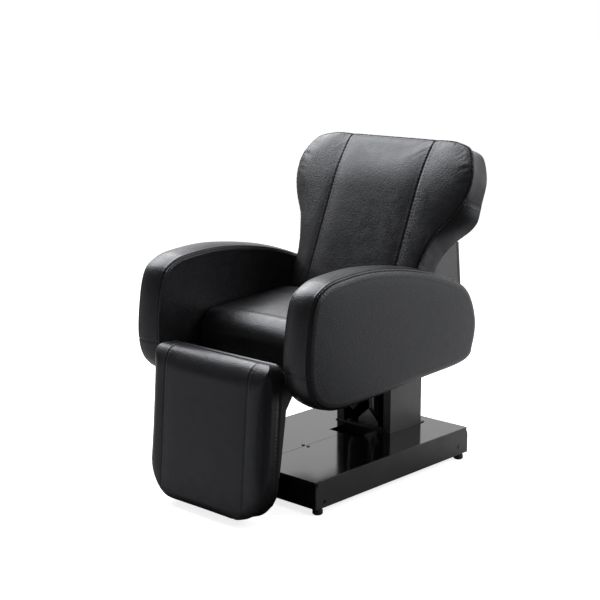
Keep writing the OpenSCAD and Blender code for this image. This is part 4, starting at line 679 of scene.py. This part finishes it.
def addLeg(look, material):
    print("legrest: sewing the panels")
    bottom = look["top"] - look["length"]
    corner = np.array([[look["halfWidth"] - r + r * math.cos(a), end + s * r * (1 - math.sin(a))]
                       for r, end, s, turns in ((look["lowCorner"], bottom, 1, np.linspace(90, 0, 16)),
                                                (look["topCorner"], look["top"], -1, np.linspace(0, 90, 12)))
                       for a in np.radians(turns)])
    side = pointsAt(corner, easeEnds(look["rows"], 0.45))
    x = panelColumns(side[:, 0], look["seamX"], look["midColumns"], look["sideColumns"])
    z = np.repeat(side[:, 1:], x.shape[1], axis=1)
    outline = np.vstack([side, side[::-1] * (-1, 1)])
    outline = pointsAt(outline, np.linspace(0, 1, 1500), closed=True)
    crown = look["crown"] * np.clip(np.abs(x) / look["halfWidth"], 0, 1) ** 2
    upper = look["topRoll"] / look["topReach"] * quarterRound(look["top"] - z, look["topReach"])
    lower = quarterRound(z - bottom, look["lowRoll"])
    sideRound = look["edgeRound"] / look["edgeReach"] * quarterRound(
        np.repeat(side[:, :1], x.shape[1], axis=1) - np.abs(x), look["edgeReach"])
    y = crown - look["face"] + np.maximum(np.maximum(upper, lower), sideRound)
    shares = easeEnds(12, 0.5)[1:-1]
    front = np.stack([x, y, z], axis=2)
    piece = sheetPad("legUpholstery", front, -look["rear"], shares, -look["pull"] * np.sin(math.pi * shares))
    seams = [front[:, x.shape[1] // 2 + s * (look["midColumns"] // 2)] for s in (-1, 1)]
    hem = np.column_stack([outline[:, 0], np.full(len(outline), -look["rear"] - look["hem"]), outline[:, 1]])
    seams.append(np.vstack([hem, hem[:1]]))
    fillSkin(piece, seams, lambda p: p[:, 1] > -look["rear"] - 1 * mm, dict(fillLook, cap=look["fillCap"]))
    sewSeams(piece, seams)
    turn = Matrix.Translation(jointAt["legrest"]) @ Matrix.Rotation(math.radians(-look["tilt"]), 4, "X")
    finishPiece(piece, material, "legrest", turn=turn)
    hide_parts("leg_cushion")


# Seat: one crowned pad with a rolled front edge
seatLook = {
    "crown": 22 * mm, "slope": 4.6, "ahead": 6 * mm, "frontRound": 60 * mm, "frontDrop": 62 * mm,
    "rearRound": 14 * mm, "sideRound": 13 * mm, "endShare": 0.3, "crownPower": 2.2,
    "edgeHeight": 498 * mm, "frontCorner": 15 * mm, "hem": 1 * mm,
    "outlinePoints": 260, "stations": 74, "capRings": (0.2, 0.5, 0.75, 0.9), "boardHold": 60 * mm,
}


def addSeat(look, material):
    print("seat: shaping the pad")
    low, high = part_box("seat_cushion")
    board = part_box("seat_board")
    rise = math.tan(math.radians(look["slope"]))
    halfWidth, frontY, y1, z0 = high.x, low.y - look["ahead"], high.y, board[0].z + look["hem"]

    def profile(crown, x):
        y0 = frontY + float(quarterRound(halfWidth - abs(x), look["frontCorner"]))
        topStart = y0 + look["frontRound"]
        topLength = y1 - look["rearRound"] - topStart
        frontZ = look["edgeHeight"] + topStart * rise - look["frontDrop"] + crown * look["endShare"]
        rearZ = look["edgeHeight"] + y1 * rise - look["rearRound"] + crown * look["endShare"]
        rear = [[y1 - look["rearRound"] * (1 - math.cos(a)), rearZ + look["rearRound"] * math.sin(a)]
                for a in np.radians(np.linspace(0, 90, 10))]
        top = [[topStart + s * topLength, look["edgeHeight"] + (topStart + s * topLength) * rise
                + crown * (look["endShare"] + (1 - look["endShare"]) * math.sin(math.pi * s))]
               for s in np.linspace(0.97, 0.03, 40)]
        front = [[topStart + look["frontRound"] * math.cos(a), frontZ + look["frontDrop"] * math.sin(a)]
                 for a in np.radians(np.linspace(90, 180, 20))]
        loop = np.array([[y0, z0], [y1, z0]] + rear + top + front)
        return pointsAt(loop, np.arange(look["outlinePoints"]) / look["outlinePoints"], closed=True)

    flat = halfWidth - look["sideRound"]
    stations = [(flat + look["sideRound"] * math.cos(a), look["sideRound"] * (1 - math.sin(a)))
                for a in np.radians(np.linspace(0, 90, 9))]
    stations += [(x, 0.0) for x in flat * (2 * easeEnds(look["stations"], 0.5) - 1)[::-1][1:-1]]
    stations += [(-x, inset) for x, inset in stations[8::-1]]
    loops = []
    for x, inset in stations:
        crown = look["crown"] * (1 - min(1, abs(x) / flat) ** look["crownPower"])
        loop = insetLoop(profile(crown, x), inset)
        loop[:, 1] = np.maximum(loop[:, 1], z0)
        loops.append(np.column_stack([np.full(len(loop), x), loop]))
    middle = np.array([0, (frontY + y1) / 2, (z0 + look["edgeHeight"]) / 2])
    for end in (0, -1):
        rim = loops[end]
        center = middle * (0, 1, 1) + (rim[0, 0], 0, 0)
        caps = [center + (rim - center) * s for s in look["capRings"]]
        loops = caps + loops if end == 0 else loops + caps[::-1]
    piece = loopSkin("seatUpholstery", loops)
    seams = []
    for s in (-1, 1):
        loop = profile(0.0, flat)
        loop = loop[loop[:, 1] > z0 + 8 * mm]
        seams.append(np.column_stack([np.full(len(loop), s * flat), loop]))
    fillSkin(piece, seams, lambda p: (p[:, 2] < z0 + look["boardHold"]) | (np.abs(p[:, 0]) > flat))
    sewSeams(piece, seams)
    finishPiece(piece, material, "lift")
    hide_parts("seat_cushion")


# Arms: an outer face and a crowned boxing strip as wide as the arm, with a seam on each side
armLook = {
    "front": 358 * mm, "length": 700 * mm, "base": 313 * mm, "height": 338 * mm, "coreCover": 0.6 * mm,
    "crown": 3 * mm, "edgeRound": 15 * mm, "edgeReach": 24 * mm, "innerRound": 14 * mm,
    "stripCrown": 3.5 * mm, "stripRise": 3 * mm, "seamInset": (5 * mm, 1.5 * mm), "outlinePoints": 480,
    "innerSteps": 11, "outerSteps": 17, "capRings": (0.12, 0.4, 0.7, 0.92),
    "faceRings": [3, 7, 12, 18, 26, 36, 48, 62, 78, 96, 114, 128],
    "shares": [[.035, .125], [.13, .012], [.30, .004], [.65, .044], [.93, .08], [.985, .20],
               [.998, .42], [.94, .665], [.80, .812], [.60, .932], [.36, .998], [.165, .981],
               [.085, .935], [.038, .85], [.012, .65], [.001, .33]],
    "joins": [0.9635, 0.53],
}


def addArm(look, material, side):
    print("arm: sewing the", side, "pad")
    core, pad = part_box("arm_core_" + side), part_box("arm_pad_" + side)
    sign = 1 if side == "left" else -1
    inner = min(abs(core[0].x), abs(core[1].x)) - look["coreCover"]
    outer = max(abs(pad[0].x), abs(pad[1].x))
    outline = curveThrough([[-look["front"] + s * look["length"], look["base"] + t * look["height"]]
                            for s, t in look["shares"]], 14, closed=True)
    outline = pointsAt(outline, np.arange(look["outlinePoints"]) / look["outlinePoints"], closed=True)
    middle = np.array([-look["front"] + look["length"] / 2, look["base"] + look["height"] / 2])
    stripIn, stripOut = inner + look["innerRound"], outer - look["crown"] - look["edgeRound"]
    stations = [(stripIn - look["innerRound"] * math.sin(a), look["innerRound"] * (1 - math.cos(a)))
                for a in np.radians(np.linspace(90, 0, look["innerSteps"])[:-1])]
    stations += [(stripIn + (stripOut - stripIn) * t, -look["stripCrown"] * math.sin(math.pi * t) ** 0.8)
                 for t in easeEnds(14, 0.4)]
    stations += [(stripOut + look["edgeRound"] * math.sin(a), look["edgeReach"] * (1 - math.cos(a)))
                 for a in np.radians(np.linspace(0, 90, look["outerSteps"])[1:])]
    stations = [(x, inset - look["stripRise"] * (x - inner) / (outer - inner)) for x, inset in stations]
    loops = [np.column_stack([np.full(len(outline), x), insetLoop(outline, inset)]) for x, inset in stations]
    paths = {}
    for name, inset, turning in (("inner", look["seamInset"][0], stations[:look["innerSteps"]]),
                                 ("outer", look["seamInset"][1], stations[-look["outerSteps"]:])):
        turning = sorted(turning, key=lambda place: place[1])
        x = np.interp(inset, [place[1] for place in turning], [place[0] for place in turning])
        paths[name] = np.column_stack([np.full(len(outline), sign * x), insetLoop(outline, inset)])
    rim = loops[-1]
    for ring in look["faceRings"]:
        s = 1 - ring * mm / (look["height"] / 2 - look["edgeReach"])
        x = outer - look["crown"] * s ** 6
        loops.append(np.column_stack([np.full(len(rim), x), middle + (rim[:, 1:] - middle) * s]))
    rim = loops[0]
    loops = [np.column_stack([rim[:, 0], middle + (rim[:, 1:] - middle) * s])
             for s in look["capRings"]] + loops
    piece = loopSkin("armUpholstery_" + side, [loop * (sign, 1, 1) for loop in loops])
    seams = [np.vstack([p, p[:1]]) for p in paths.values()]
    joins = []
    for share in look["joins"]:
        i = int(share * len(outline))
        joins.append(np.array([[sign * x, *insetLoop(outline, inset)[i]] for x, inset in stations
                               if abs(paths["inner"][0, 0]) <= x <= abs(paths["outer"][0, 0])]))
    sewSeams(piece, seams, joins)
    finishPiece(piece, material, "lift")
    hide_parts("arm_pad_" + side)


print("studio: camera, lamps and floor")
addCamera(cameraLook)
for lampName, lampLook in lampLooks.items():
    addLamp(lampName, lampLook)
addStudio(studioLook)
bpy.context.scene.view_settings.view_transform = "Standard"

print("materials: mixing the finishes")
materials = makeMaterials()
dressNodes(materials)

addSeat(seatLook, materials["upholstery"])
addBack(backLook, materials["upholstery"])
addLeg(legLook, materials["upholstery"])
for armSide in ("left", "right"):
    addArm(armLook, materials["upholstery"], armSide)
